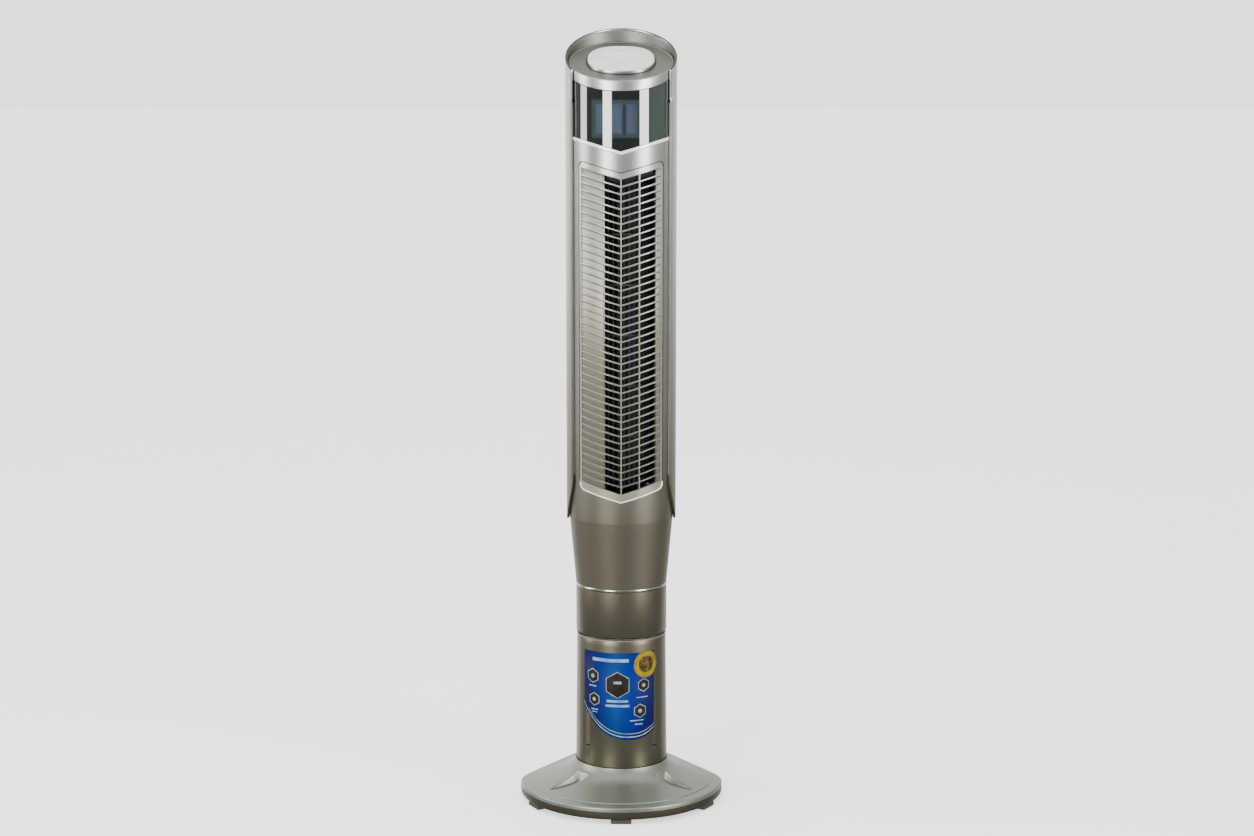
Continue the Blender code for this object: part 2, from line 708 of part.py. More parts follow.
def build_handle(shell):
    """A pocket in the rear shell that a hand reaches into."""
    middle = (HANDLE_BOTTOM + HANDLE_TOP) / 2
    height = HANDLE_TOP - HANDLE_BOTTOM
    depth = 0.0500
    centre_y = HANDLE_FRONT_Y + depth / 2
    window = box("handle_window", (2 * HANDLE_HALF_W, depth, height), (0, centre_y, middle),
                 "steel")
    boolean(shell, hide_as_cutter(window))

    cup = box("handle_cup", (2 * (HANDLE_HALF_W - GAP), depth, height - 2 * GAP),
              (0, centre_y, middle), "black_plastic")
    inside = box("handle_inside",
                 (2 * (HANDLE_HALF_W - HANDLE_WALL), depth, height - 2 * HANDLE_WALL),
                 (0, centre_y + HANDLE_WALL, middle), "steel")
    trim = hide_as_cutter(cylinder("handle_trim", REAR_R - 0.0004, 0.2, (0, 0, middle),
                                   "steel", segments=96))
    boolean(cup, hide_as_cutter(inside))
    boolean(cup, trim, "INTERSECT")


def build_rear_screws(shell):
    number = 0
    for height in SCREW_HEIGHTS:
        for side in (-1, 1):
            number += 1
            turn = 180 + side * SCREW_TURN
            hole = hide_as_cutter(cylinder("rear_hole_%d" % number, 0.0036, 0.030,
                                           on_cylinder(REAR_R, turn, height), "steel"))
            hole.rotation_euler = (math.radians(90), 0, math.radians(turn))
            boolean(shell, hole)
            screw = turned("rear_screw_%d" % number, [
                (0, 0), (0.0020, 0), (0.0032, -0.0008), (0.0032, -0.0030),
                (0.0015, -0.0030), (0.0015, -0.0110), (0, -0.0110),
            ], "steel", location=on_cylinder(REAR_R - 0.0006, turn, height), segments=12)
            screw.rotation_euler = (math.radians(90), 0, math.radians(turn))


# ---------------------------------------------------------------- top
BUTTONS = {                     # name: (x, y, radius) on the panel, before it is tilted
    "button_power": (0.0, 0.0, 0.0105),
    "button_speed": (0.0, 0.0290, 0.0080),
    "button_mode": (0.0290, 0.0, 0.0080),
    "button_timer": (0.0, -0.0290, 0.0080),
    "button_swing": (-0.0290, 0.0, 0.0080),
}


def tilt_top(thing, height_above_panel=0.0):
    """Lay a piece that is modelled flat onto the slanted top panel."""
    lay = Matrix.Translation((0, 0, TOP_PANEL_Z)) @ Matrix.Rotation(TOP_TILT, 4, "X")
    local = Matrix.Translation(thing.location + Vector((0, 0, height_above_panel)))
    thing.matrix_world = lay @ local


def squircle_plate(name, half_width, half_length, bottom, top, finish, power=2.6):
    """A plate whose outline lies between an ellipse and a rectangle."""
    bm = bmesh.new()
    bmesh.ops.create_cone(bm, cap_ends=True, segments=40, radius1=1, radius2=1,
                          depth=top - bottom)
    for vert in bm.verts:
        reach = (abs(vert.co.x) ** power + abs(vert.co.y) ** power) ** (1 / power)
        vert.co.x *= half_width / reach
        vert.co.y *= half_length / reach
    return add_object(name, mesh_from(bm, name), finish, (0, 0, (bottom + top) / 2),
                      smooth=False)


def build_top():
    def ring_point(turn, row):
        spot = on_cylinder(TOP_RING_R, turn, 0)
        spot.z = slanted(spot, TOP_PANEL_Z - TOP_RING_H * (1 - row))
        return spot

    curved_sheet("top_ring", steps(0, 360, SEGMENTS), [0, 1], ring_point, "silver_paint",
                 TOP_RING_WALL)

    stretch = 1 / math.cos(TOP_TILT)
    panel_outline = [(x, y * stretch) for x, y in circle_outline(PANEL_R, SEGMENTS)]
    panel = as_mesh(flat_outline("top_panel", [panel_outline], -PANEL_T, 0, "panel_grey"))
    pad = squircle_plate("control_pad", PAD_R, PAD_R * stretch, GAP, PAD_H, "light_pad")
    for name, (x, y, radius) in BUTTONS.items():
        pad_hole = hide_as_cutter(cylinder(name + "_hole", radius + GAP, 0.030, (x, y, 0),
                                           "steel", segments=24))
        tilt_top(pad_hole)
        boolean(pad, pad_hole)
        button = cylinder(name, radius, BUTTON_HIGH - BUTTON_LOW, (x, y, 0), "light_pad",
                          segments=24)
        tilt_top(button, (BUTTON_HIGH + BUTTON_LOW) / 2)
    tilt_top(panel)
    tilt_top(pad)
    board = box("control_board", (0.0860, 0.0860, 0.0016), (0, 0, -PANEL_T - 0.0040),
                "circuit_board")
    tilt_top(board)


def build_electronics():
    glass_x = -0.0072
    box("display_module", (0.0724, 0.0050, 0.0563), (glass_x, -0.0580, 1.0372), "lcd_glass")
    box("display_board", (0.0900, 0.0016, 0.0640), (glass_x / 2, -0.0538, 1.0372),
        "circuit_board")
    box("main_board", (0.0900, 0.0016, 0.0680), (0, -0.0200, 1.0200), "circuit_board")
    box("run_capacitor", (0.0370, 0.0180, 0.0250), (0.0150, -0.0090, 1.0200),
        "black_plastic", bevel=0.001)


# ---------------------------------------------------------------- air path
def wall_sheet(name, path, bottom, top, wall, finish):
    """An upright wall that follows a path in plan."""
    bm = bmesh.new()
    low = [bm.verts.new((x, y, bottom)) for x, y in path]
    edges = [bm.edges.new(pair) for pair in zip(low, low[1:])]
    grown = bmesh.ops.extrude_edge_only(bm, edges=edges)
    raised = [item for item in grown["geom"] if isinstance(item, bmesh.types.BMVert)]
    bmesh.ops.translate(bm, vec=(0, 0, top - bottom), verts=raised)
    thing = add_object(name, mesh_from(bm, name), finish)
    solid = thing.modifiers.new("wall", "SOLIDIFY")
    solid.thickness = wall
    solid.offset = 0.0
    return thing


def arc(centre_y, radius, start, end, count):
    """Points of an arc about the impeller's axis, by turn from the front."""
    return [(radius * math.sin(math.radians(t)), centre_y - radius * math.cos(math.radians(t)))
            for t in steps(start, end, count)]


def build_air_path():
    low = INSERT_BOTTOM + 0.0130
    high = IMPELLER_TOP + 0.0120
    scroll = [(OUTLET_LEFT - 0.0030, -0.0630)] + arc(IMPELLER_Y, 0.0515, -50, -140, 8)
    wall_sheet("scroll_wall", scroll, low, high, 0.0016, "black_plastic")
    tongue = [(OUTLET_RIGHT, -0.0440)] + arc(IMPELLER_Y, 0.0500, 75, 105, 3)
    wall_sheet("tongue_wall", tongue, low, high, 0.0016, "black_plastic")

    bracket_low = 0.4560
    turned("motor_bracket", ring_profile(0.0080, 0.0520, bracket_low, bracket_low + 0.003),
           "steel", location=(0, IMPELLER_Y, 0), segments=HIDDEN_SEGMENTS)
    turned("fan_motor", [
        (SHAFT_R + 0.0005, 0.4555), (0.0150, 0.4555), (0.0330, 0.4480), (0.0350, 0.4440),
        (0.0350, 0.4100), (0.0300, 0.4020), (0.0150, 0.3980), (SHAFT_R + 0.0005, 0.3980),
    ], "steel", location=(0, IMPELLER_Y, 0),
           segments=HIDDEN_SEGMENTS)
    turned("rotor_shaft", disc_profile(SHAFT_R, 0.3940, IMPELLER_BOTTOM + 0.008), "steel",
           location=(0, IMPELLER_Y, 0), segments=16)
    bracket_high = IMPELLER_TOP + 0.0125
    turned("upper_bracket", ring_profile(0.0085, 0.0520, bracket_high, bracket_high + 0.003),
           "steel", location=(0, IMPELLER_Y, 0), segments=HIDDEN_SEGMENTS)
    turned("upper_bearing", ring_profile(SHAFT_R + GAP, BEARING_R, IMPELLER_TOP + 0.006,
                                         bracket_high + 0.0060), "rubber",
           location=(0, IMPELLER_Y, 0), segments=24)
    build_impeller(bracket_high + 0.0050)


def build_impeller(stub_top):
    """Curved blades held by discs, with a hub on the motor shaft and a stub at the top."""
    hub = turned("impeller", [
        (SHAFT_R + GAP, IMPELLER_BOTTOM + 0.010), (0.0085, IMPELLER_BOTTOM + 0.010),
        (0.0085, IMPELLER_BOTTOM + DISC_T), (IMPELLER_R, IMPELLER_BOTTOM + DISC_T),
        (IMPELLER_R, IMPELLER_BOTTOM), (SHAFT_R + GAP, IMPELLER_BOTTOM),
    ], "black_plastic", location=(0, IMPELLER_Y, 0), segments=32)
    top_disc = hide_as_cutter(turned("impeller_top", [
        (0, stub_top), (SHAFT_R, stub_top), (SHAFT_R, IMPELLER_TOP),
        (IMPELLER_R, IMPELLER_TOP), (IMPELLER_R, IMPELLER_TOP - DISC_T),
        (0, IMPELLER_TOP - DISC_T),
    ], "black_plastic", location=(0, IMPELLER_Y, 0), segments=32))
    blades = impeller_blades()
    boolean(hub, blades, "UNION")
    boolean(hub, top_disc, "UNION")
    span = IMPELLER_TOP - IMPELLER_BOTTOM
    for number in (1, 2):
        middle = IMPELLER_BOTTOM + span * number / 3
        rim = hide_as_cutter(turned("impeller_rim_%d" % number,
                                    ring_profile(0.0310, IMPELLER_R, middle - DISC_T / 2,
                                                 middle + DISC_T / 2),
                                    "black_plastic", location=(0, IMPELLER_Y, 0),
                                    segments=32))
        boolean(hub, rim, "UNION")


def impeller_blades():
    bm = bmesh.new()
    chord_in = IMPELLER_R - 0.0105
    chord_out = IMPELLER_R - 0.0006
    low = IMPELLER_BOTTOM + DISC_T / 2
    high = IMPELLER_TOP - DISC_T / 2
    for blade in range(BLADE_COUNT):
        angle = math.tau * blade / BLADE_COUNT
        inner = Vector((chord_in * math.cos(angle), chord_in * math.sin(angle), low))
        lead = angle + BLADE_SWEEP
        outer = Vector((chord_out * math.cos(lead), chord_out * math.sin(lead), low))
        rise = Vector((0, 0, high - low))
        corners = [bm.verts.new(spot) for spot in (inner, outer, outer + rise, inner + rise)]
        bm.faces.new(corners)
    blades = add_object("impeller_blades", mesh_from(bm, "impeller_blades"),
                        "black_plastic", (0, IMPELLER_Y, 0))
    solid = blades.modifiers.new("wall", "SOLIDIFY")
    solid.thickness = 0.0011
    solid.offset = 0.0
    return hide_as_cutter(blades)


# ---------------------------------------------------------------- assembly
build_base()
cap_top = build_column()
build_oscillation(cap_top)
build_neck()
build_front_shell()
build_window()
build_grille_insert()
rear = build_rear_shell()
build_handle(rear)
build_rear_screws(rear)
build_top()
build_electronics()
build_air_path()
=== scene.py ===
"""Looks of the tower fan: fine surfaces, materials, studio and camera round the CAD frame.

Units are metres, the front faces -Y and +Z is up. A "turn" is an angle in plan, in degrees,
measured from the front towards +X.
"""
import json
import math

import bmesh
import bpy
from mathutils import Matrix, Vector


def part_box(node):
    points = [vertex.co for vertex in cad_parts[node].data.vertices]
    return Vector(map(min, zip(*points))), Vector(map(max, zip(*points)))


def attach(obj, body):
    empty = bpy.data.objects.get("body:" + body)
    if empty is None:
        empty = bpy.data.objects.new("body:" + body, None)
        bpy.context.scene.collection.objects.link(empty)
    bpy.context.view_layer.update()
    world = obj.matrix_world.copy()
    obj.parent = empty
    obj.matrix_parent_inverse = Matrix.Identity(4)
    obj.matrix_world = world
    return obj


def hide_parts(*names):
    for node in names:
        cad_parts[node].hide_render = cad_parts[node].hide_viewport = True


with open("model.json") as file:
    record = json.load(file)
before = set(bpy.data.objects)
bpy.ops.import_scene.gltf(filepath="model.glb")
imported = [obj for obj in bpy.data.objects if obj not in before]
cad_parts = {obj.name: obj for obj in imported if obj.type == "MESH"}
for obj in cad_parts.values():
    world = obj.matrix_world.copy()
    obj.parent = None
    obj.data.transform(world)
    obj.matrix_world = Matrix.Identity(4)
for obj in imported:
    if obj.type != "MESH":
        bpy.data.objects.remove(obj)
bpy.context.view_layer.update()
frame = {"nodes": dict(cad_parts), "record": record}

SMOOTH_ANGLE = 35                # degrees; sharper edges stay sharp in the shading

# ---------------------------------------------------------------- sizes taken from the frame
PLATE_LOW, PLATE_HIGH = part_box("base_plate")
COLUMN_LOW, COLUMN_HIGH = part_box("column_tube")
NECK_LOW, NECK_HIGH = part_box("neck_sleeve")
RING_LOW, RING_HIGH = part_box("chrome_ring")
SHELL_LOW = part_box("front_shell")[0]
REAR_LOW, REAR_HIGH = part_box("rear_shell")
HANDLE_LOW, HANDLE_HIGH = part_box("handle_cup")
INTAKE_LOW, INTAKE_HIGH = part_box("intake_grille")
INSERT_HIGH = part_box("grille_insert")[1]
IMPELLER_LOW, IMPELLER_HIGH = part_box("impeller")

BASE_R = PLATE_HIGH.y
BASE_FLAT_TURN = 123.7           # the base is flattened on both sides towards the back
BASE_FLAT_R = 0.13
BASE_CORNER_POWER = 26
BASE_INNER_R = 0.0712            # the cover's inner edge; the base is round up to here
BASE_RIBS = 20                   # under the base
COLUMN_SCREW_ORBIT = 0.054
COLUMN_R_BOTTOM = COLUMN_HIGH.x
COLUMN_R_TOP = COLUMN_R_BOTTOM - 0.0021
CLIP_SLOT_TURN = 47
CLIP_SLOT_Z = 0.09
NECK_R = NECK_HIGH.x
BODY_R = 0.0782
REAR_R = REAR_HIGH.x
CREASE_Z = 0.4365
CREASE_DEPTH = 0.00012
CREASE_BAND = 0.006              # height of the band above the crease

V_SLOPE = 0.285                  # rise of all the V edges per metre to the side
INSERT_HALF_W = INSERT_HIGH.x
INSERT_BOTTOM = 0.4713
INSERT_TOP = 0.9586
V_TRIM_BOTTOM = 0.9853
V_TRIM_H = 0.0048
OUTLET_LEFT = -0.0247
OUTLET_RIGHT = 0.052
SECOND_RIB_X = 0.0273
SLAT_COUNT = 42
IMPELLER_BLADES = 32
IMPELLER_TOP = 0.943

TOP_TILT = math.radians(20.05)
TOP_SLOPE = math.tan(TOP_TILT)
TOP_PANEL_Z = 1.12
TOP_RING_R = 0.0775
TOP_RING_H = 0.0146
REAR_RIM_Z = 1.126
REAR_RIM_SLOPE = 0.507
REAR_EDGE_TURN = 63.0
REAR_TIP_Z = REAR_LOW.z
REAR_SWEEP_Z = 0.495             # below this the front edges sweep back to the tips
INTAKE_HALF_TURN = 42.0
INTAKE_SLOTS = 48
HANDLE_HALF_TURN = math.degrees(math.asin(HANDLE_HIGH.x / REAR_R)) + 0.25
TAB_SHARE = 0.062                # recessed tabs at the top of the shell's front edges
TAB_LEVEL = 3.175
TAB_RECESS = 0.001


# ---------------------------------------------------------------- small geometry helpers
def on_cylinder(radius, turn, z):
    angle = math.radians(turn)
    return Vector((radius * math.sin(angle), -radius * math.cos(angle), z))


def on_slant(radius, turn, height_at):
    """A point on a cylinder, at the height that height_at(x, y) gives there."""
    spot = on_cylinder(radius, turn, 0)
    spot.z = height_at(spot.x, spot.y)
    return spot


def turn_at(x, radius):
    return math.degrees(math.asin(x / radius))


def steps(start, end, count):
    return [start + (end - start) * i / count for i in range(count + 1)]


def spaced(marks, counts):
    """Steps through several stretches: counts[i] steps from marks[i] to marks[i + 1]."""
    values = []
    for start, end, count in zip(marks, marks[1:], counts):
        values += steps(start, end, count)[:-1]
    return values + [marks[-1]]


def smooth_line(points, per_span):
    """A Catmull-Rom curve through 2D points."""
    line = []
    last = len(points) - 1
    for i in range(last):
        p0 = Vector(points[max(i - 1, 0)])
        p1 = Vector(points[i])
        p2 = Vector(points[i + 1])
        p3 = Vector(points[min(i + 2, last)])
        for k in range(per_span):
            t = k / per_span
            line.append(tuple(0.5 * (2 * p1 + (p2 - p0) * t
                                     + (2 * p0 - 5 * p1 + 4 * p2 - p3) * t * t
                                     + (3 * p1 - p0 - 3 * p2 + p3) * t ** 3)))
    line.append(tuple(points[last]))
    return line


def soft_step(value):
    value = min(max(value, 0.0), 1.0)
    return value * value * (3 - 2 * value)


def mix(first, second, share):
    return first + (second - first) * share


def take_in(thing, body, nodes=()):
    """Put an object in the scene, hang it on the empty of the body it rides on, and hide the
    CAD nodes it stands for.
    """
    bpy.context.scene.collection.objects.link(thing)
    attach(thing, body)
    if nodes:
        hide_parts(*nodes)


def place_piece(name, mesh, material, body="fan_head", nodes=(),
                smooth_angle=SMOOTH_ANGLE):
    """Make a piece of a mesh."""
    mesh.materials.append(material)
    mesh.shade_smooth()
    mesh.set_sharp_from_angle(angle=math.radians(smooth_angle))
    thing = bpy.data.objects.new(name, mesh)
    take_in(thing, body, nodes)
    return thing


def mesh_of(bm, name):
    mesh = bpy.data.meshes.new(name)
    bm.to_mesh(mesh)
    bm.free()
    return mesh


def add_wall(thing, thickness, offset=-1.0):
    wall = thing.modifiers.new("wall", "SOLIDIFY")
    wall.thickness = thickness
    wall.offset = offset
    wall.use_even_offset = True


def add_bevel(thing, width, segments=3, angle=40):
    rounding = thing.modifiers.new("rounding", "BEVEL")
    rounding.width = width
    rounding.segments = segments
    rounding.limit_method = "ANGLE"
    rounding.angle_limit = math.radians(angle)
    rounding.harden_normals = True


def sheet_mesh(name, columns, rows, place, is_open=None):
    """A grid of faces moved to place(column value, row value), some cells left out. Face
    normals point out of a surface whose columns run towards +turn and rows upwards."""
    bm = bmesh.new()
    across = len(columns) - 1
    bmesh.ops.create_grid(bm, x_segments=across, y_segments=len(rows) - 1, size=1.0)
    bm.verts.ensure_lookup_table()
    left_out = []
    for face in bm.faces:
        corner = min(vert.index for vert in face.verts)
        column = corner % (across + 1)
        row = corner // (across + 1)
        if is_open and is_open((columns[column] + columns[column + 1]) / 2,
                               (rows[row] + rows[row + 1]) / 2):
            left_out.append(face)
    for vert in bm.verts:
        vert.co = place(columns[vert.index % (across + 1)], rows[vert.index // (across + 1)])
    bmesh.ops.delete(bm, geom=left_out, context="FACES")
    bmesh.ops.remove_doubles(bm, verts=bm.verts, dist=0.00001)
    return mesh_of(bm, name)


def sheet_piece(name, columns, rows, place, material, nodes=(),
                body="fan_head", is_open=None, wall=0.0, offset=-1.0, bevel=None,
                smooth_angle=SMOOTH_ANGLE):
    """A sheet_mesh made into a piece, with a wall and a bevel (width, segments) if given."""
    piece = place_piece(name, sheet_mesh(name, columns, rows, place, is_open), material, body,
                        nodes, smooth_angle)
    if wall:
        add_wall(piece, wall, offset)
    if bevel:
        add_bevel(piece, *bevel)
    return piece


def turned_mesh(name, profile, segments):
    """A turned solid from a profile of (radius, z), top to bottom on the outer side."""
    loop = [*profile, profile[0]]
    return sheet_mesh(name, steps(0, 360, segments), list(reversed(range(len(loop)))),
                      lambda turn, i: on_cylinder(loop[i][0], turn, loop[i][1]))


def turned_piece(name, profile, material, body, nodes=(), segments=160, centre_y=0.0):
    mesh = turned_mesh(name, profile, segments)
    mesh.transform(Matrix.Translation((0, centre_y, 0)))
    return place_piece(name, mesh, material, body, nodes)


def solids_mesh(name, solids):
    """Closed solids in one mesh, each given as rings of points from one end to the other."""
    bm = bmesh.new()
    for solid in solids:
        rings = [[bm.verts.new(spot) for spot in ring] for ring in solid]
        count = len(rings[0])
        for a, b in zip(rings, rings[1:]):
            for k in range(count):
                bm.faces.new((a[k], b[k], b[(k + 1) % count], a[(k + 1) % count]))
        bm.faces.new(rings[0])
        bm.faces.new(reversed(rings[-1]))
    bmesh.ops.recalc_face_normals(bm, faces=bm.faces)
    return mesh_of(bm, name)


def stand_at(mesh, spot, turn):
    """Move a mesh from the origin to a spot, turned about the upright axis."""
    mesh.transform(Matrix.Translation(spot) @ Matrix.Rotation(math.radians(turn), 4, "Z"))
    return mesh


def spot_of(node):
    """The middle of a CAD node, its turn and its height."""
    low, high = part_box(node)
    middle = (low + high) / 2
    return middle, math.degrees(math.atan2(middle.x, -middle.y)), high.z - low.z


def rounded_box(name, size, bevel, segments=3):
    bm = bmesh.new()
    bmesh.ops.create_cube(bm, size=1.0)
    bmesh.ops.scale(bm, vec=size, verts=bm.verts)
    bmesh.ops.bevel(bm, geom=bm.edges[:] + bm.verts[:], offset=bevel, segments=segments,
                    profile=0.5, affect="EDGES")
    return mesh_of(bm, name)


def cut(thing, cutter_mesh, name, operation="DIFFERENCE"):
    """Boolean with a cutter that is applied at once and removed."""
    cutter = bpy.data.objects.new(name, cutter_mesh)
    bpy.context.scene.collection.objects.link(cutter)
    step = thing.modifiers.new(name, "BOOLEAN")
    step.operation = operation
    step.solver = "EXACT"
    step.object = cutter
    freeze(thing)
    bpy.data.objects.remove(cutter, do_unlink=True)


def freeze(thing):
    """Apply all modifiers of an object."""
    bpy.context.view_layer.update()
    depsgraph = bpy.context.evaluated_depsgraph_get()
    mesh = bpy.data.meshes.new_from_object(thing.evaluated_get(depsgraph))
    mesh.set_sharp_from_angle(angle=math.radians(SMOOTH_ANGLE))
    thing.modifiers.clear()
    thing.data = mesh


# ---------------------------------------------------------------- materials
def linear(channel):
    if channel <= 0.04045:
        return channel / 12.92
    return ((channel + 0.055) / 1.055) ** 2.4


def colour(r, g, b):
    """sRGB 0..255 to a linear colour."""
    return (linear(r / 255), linear(g / 255), linear(b / 255), 1.0)


def scaled(rgba, factor):
    return (*[min(channel * factor, 1.0) for channel in rgba[:3]], 1.0)


class Nodes:
    """Helpers for building a node tree."""

    def __init__(self, tree):
        self.tree = tree

    def node(self, kind, **settings):
        made = self.tree.nodes.new(kind)
        for key, value in settings.items():
            setattr(made, key, value)
        return made

    def put(self, value, socket):
        """Link an output to a socket, or set the socket to a plain value."""
        if isinstance(value, bpy.types.NodeSocket):
            self.tree.links.new(value, socket)
        else:
            socket.default_value = value

    def ramp(self, factor, stops):
        made = self.node("ShaderNodeValToRGB")
        while len(made.color_ramp.elements) < len(stops):
            made.color_ramp.elements.new(0.5)
        for element, (position, value) in zip(made.color_ramp.elements, stops):
            element.position = position
            element.color = value
        self.put(factor, made.inputs["Fac"])
        return made.outputs["Color"]

    def math(self, operation, *values, clamp=False):
        made = self.node("ShaderNodeMath", operation=operation, use_clamp=clamp)
        for value, socket in zip(values, made.inputs):
            self.put(value, socket)
        return made.outputs[0]


class Surface(Nodes):
    """A Principled material with helpers for the nodes that most surfaces share."""

    def __init__(self, name, metallic=0.0, roughness=0.4):
        self.material = bpy.data.materials.new(name)
        self.material.use_nodes = True
        super().__init__(self.material.node_tree)
        self.shader = self.tree.nodes["Principled BSDF"]
        self.set("Metallic", metallic)
        self.set("Roughness", roughness)
        self.place = self.node("ShaderNodeTexCoord").outputs["Object"]

    def set(self, socket, value):
        self.put(value, self.shader.inputs[socket])

    def texture(self, kind, **values):
        """A texture node laid out in Object coordinates."""
        made = self.node(kind)
        for key, value in values.items():
            made.inputs[key].default_value = value
        self.put(self.place, made.inputs["Vector"])
        return made

    def noise(self, scale, detail=3.0, stretch=(1, 1, 1)):
        mapping = self.texture("ShaderNodeMapping", Scale=stretch)
        made = self.texture("ShaderNodeTexNoise", Scale=scale, Detail=detail)
        self.put(mapping.outputs["Vector"], made.inputs["Vector"])
        return made.outputs["Fac"]

    def axes(self):
        parts = self.node("ShaderNodeSeparateXYZ")
        self.put(self.place, parts.inputs["Vector"])
        return parts.outputs

    def mix(self, factor, first, second, blend="MIX"):
        made = self.node("ShaderNodeMix", data_type="RGBA", blend_type=blend)
        for value, number in ((factor, 0), (first, 6), (second, 7)):
            self.put(value, made.inputs[number])
        return made.outputs[2]

    def product(self, *values):
        total = values[0]
        for value in values[1:]:
            total = self.math("MULTIPLY", total, value)
        return total

    def cloud(self, scale, first, second, detail=3.0, stretch=(1, 1, 1), edge=0.3):
        """A colour that wanders softly between two."""
        return self.ramp(self.noise(scale, detail, stretch),
                         [(edge, first), (1 - edge, second)])

    def between(self, value, low, high, out_low=0.0, out_high=1.0):
        made = self.node("ShaderNodeMapRange")
        for limit, socket in ((low, "From Min"), (high, "From Max"), (out_low, "To Min"),
                              (out_high, "To Max"), (value, "Value")):
            self.put(limit, made.inputs[socket])
        return made.outputs["Result"]

    def spread(self, factor, low, high):
        return self.between(factor, 0.3, 0.7, low, high)

    def vary_roughness(self, scale, low, high):
        self.set("Roughness", self.spread(self.noise(scale), low, high))

    def bump(self, factor, strength, distance):
        made = self.node("ShaderNodeBump")
        for value, socket in ((strength, "Strength"), (distance, "Distance"),
                              (factor, "Height")):
            self.put(value, made.inputs[socket])
        self.set("Normal", made.outputs["Normal"])


def metallic_paint(name, top_colour, low_colour=None, span=(0.45, 1.0), roughness=0.36,
                   metallic=0.93):
    """Sprayed metallic paint: flakes, a little orange peel, a clear coat. With a low colour
    it turns darker and rougher downwards, over a span of heights; where the low colour is the
    darker, that darkening is painted shade, for light that falls off lower down."""
    surface = Surface(name, metallic, roughness)
    base = top_colour
    if low_colour:
        # Mix by height: painted shade towards the bottom where the low colour is the darker.
        share = surface.between(surface.axes()["Z"], *span)
        base = surface.mix(share, low_colour, top_colour)
        surface.set("Roughness", surface.spread(share, roughness + 0.14, roughness - 0.02))
    else:
        surface.vary_roughness(55.0, roughness - 0.015, roughness + 0.02)
    flakes = surface.texture("ShaderNodeTexVoronoi", Scale=2600.0)
    glint = surface.ramp(flakes.outputs["Distance"],
                         [(0.0, WHITE), (1.0, (0.93, 0.93, 0.92, 1))])
    surface.set("Base Color", surface.mix(1.0, base, glint, "MULTIPLY"))
    surface.set("Coat Weight", 0.06)
    surface.set("Coat Roughness", 0.18)
    surface.bump(surface.noise(900.0, 2.0), 0.012, 0.0002)
    return surface.material


def bright_metal(name, rgba, roughness, metallic=1.0):
    surface = Surface(name, metallic, roughness)
    surface.set("Base Color", surface.cloud(30.0, scaled(rgba, 0.92), scaled(rgba, 1.04)))
    surface.vary_roughness(140.0, roughness - 0.02, roughness + 0.03)
    return surface.material


def moulded_plastic(name, rgba, roughness=0.5, grain=1400.0, strength=0.12):
    surface = Surface(name, 0.0, roughness)
    surface.set("Base Color", surface.cloud(45.0, scaled(rgba, 0.88), scaled(rgba, 1.1)))
    surface.vary_roughness(grain / 4, roughness - 0.05, roughness + 0.06)
    surface.bump(surface.noise(grain, 2.0), strength, 0.0002)
    return surface.material


def brushed_steel(name, rgba):
    surface = Surface(name, 1.0, 0.32)
    grain = surface.noise(900.0, 4.0, (1, 1, 60))
    surface.set("Base Color", surface.ramp(grain, [
        (0.3, scaled(rgba, 0.82)), (0.7, scaled(rgba, 1.12))]))
    surface.set("Roughness", surface.spread(grain, 0.26, 0.4))
    surface.bump(grain, 0.08, 0.0001)
    return surface.material


def rough_casting():
    surface = Surface("ballast_casting", 0.7, 0.7)
    surface.set("Base Color", surface.cloud(80.0, colour(38, 37, 36), colour(62, 60, 57)))
    surface.vary_roughness(120.0, 0.6, 0.85)
    surface.bump(surface.noise(260.0, 5.0), 0.5, 0.0006)
    return surface.material


WHITE = (1.0, 1.0, 1.0, 1)
GREEN_TINGE = (0.014, 0.026, 0.019, 1)


def smoked_gloss():
    """Smoked plastic: near black, with the unlit display dimly seen in its middle: a paler
    panel with soft edges, a greenish frame round it and a darker band through it."""
    surface = Surface("smoked_window_gloss", 0.0, 0.03)
    low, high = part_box("display_module")
    across, _, up = surface.axes()

    def inside(margin, soft):
        return surface.product(
            surface.between(across, low.x + margin, low.x + margin + soft),
            surface.between(across, high.x - margin, high.x - margin - soft),
            surface.between(up, low.z + margin, low.z + margin + soft),
            surface.between(up, high.z - margin, high.z - margin - soft))

    dark = surface.cloud(25.0, (0.002, 0.0036, 0.0034, 1), (0.0032, 0.0056, 0.005, 1))
    frame_tone = surface.cloud(60.0, (0.013, 0.023, 0.024, 1), (0.019, 0.031, 0.031, 1))
    panel_tone = surface.cloud(90.0, (0.026, 0.037, 0.058, 1), (0.038, 0.051, 0.078, 1),
                               3.0, (1, 1, 0.1))
    band = surface.product(surface.between(across, 0.0005, 0.003),
                           surface.between(across, 0.0095, 0.006))
    panel_tone = surface.mix(band, panel_tone, (0.011, 0.013, 0.022, 1))
    dark = surface.mix(surface.between(across, 0.036, 0.046), dark, GREEN_TINGE)
    seen = surface.mix(inside(0.0, 0.0015), dark, frame_tone)
    surface.set("Base Color", surface.mix(inside(0.005, 0.004), seen, panel_tone))
    surface.set("IOR", 2.2)
    surface.vary_roughness(200.0, 0.015, 0.035)
    return surface.material


def circuit_board():
    surface = Surface("circuit_board_mask", 0.0, 0.42)
    tracks = surface.texture("ShaderNodeTexBrick", Scale=160.0, Color1=colour(20, 92, 48),
                             Color2=colour(14, 76, 40), Mortar=colour(44, 128, 70))
    surface.set("Base Color", tracks.outputs["Color"])
    surface.vary_roughness(300.0, 0.35, 0.5)
    surface.bump(surface.noise(700.0), 0.1, 0.0002)
    return surface.material


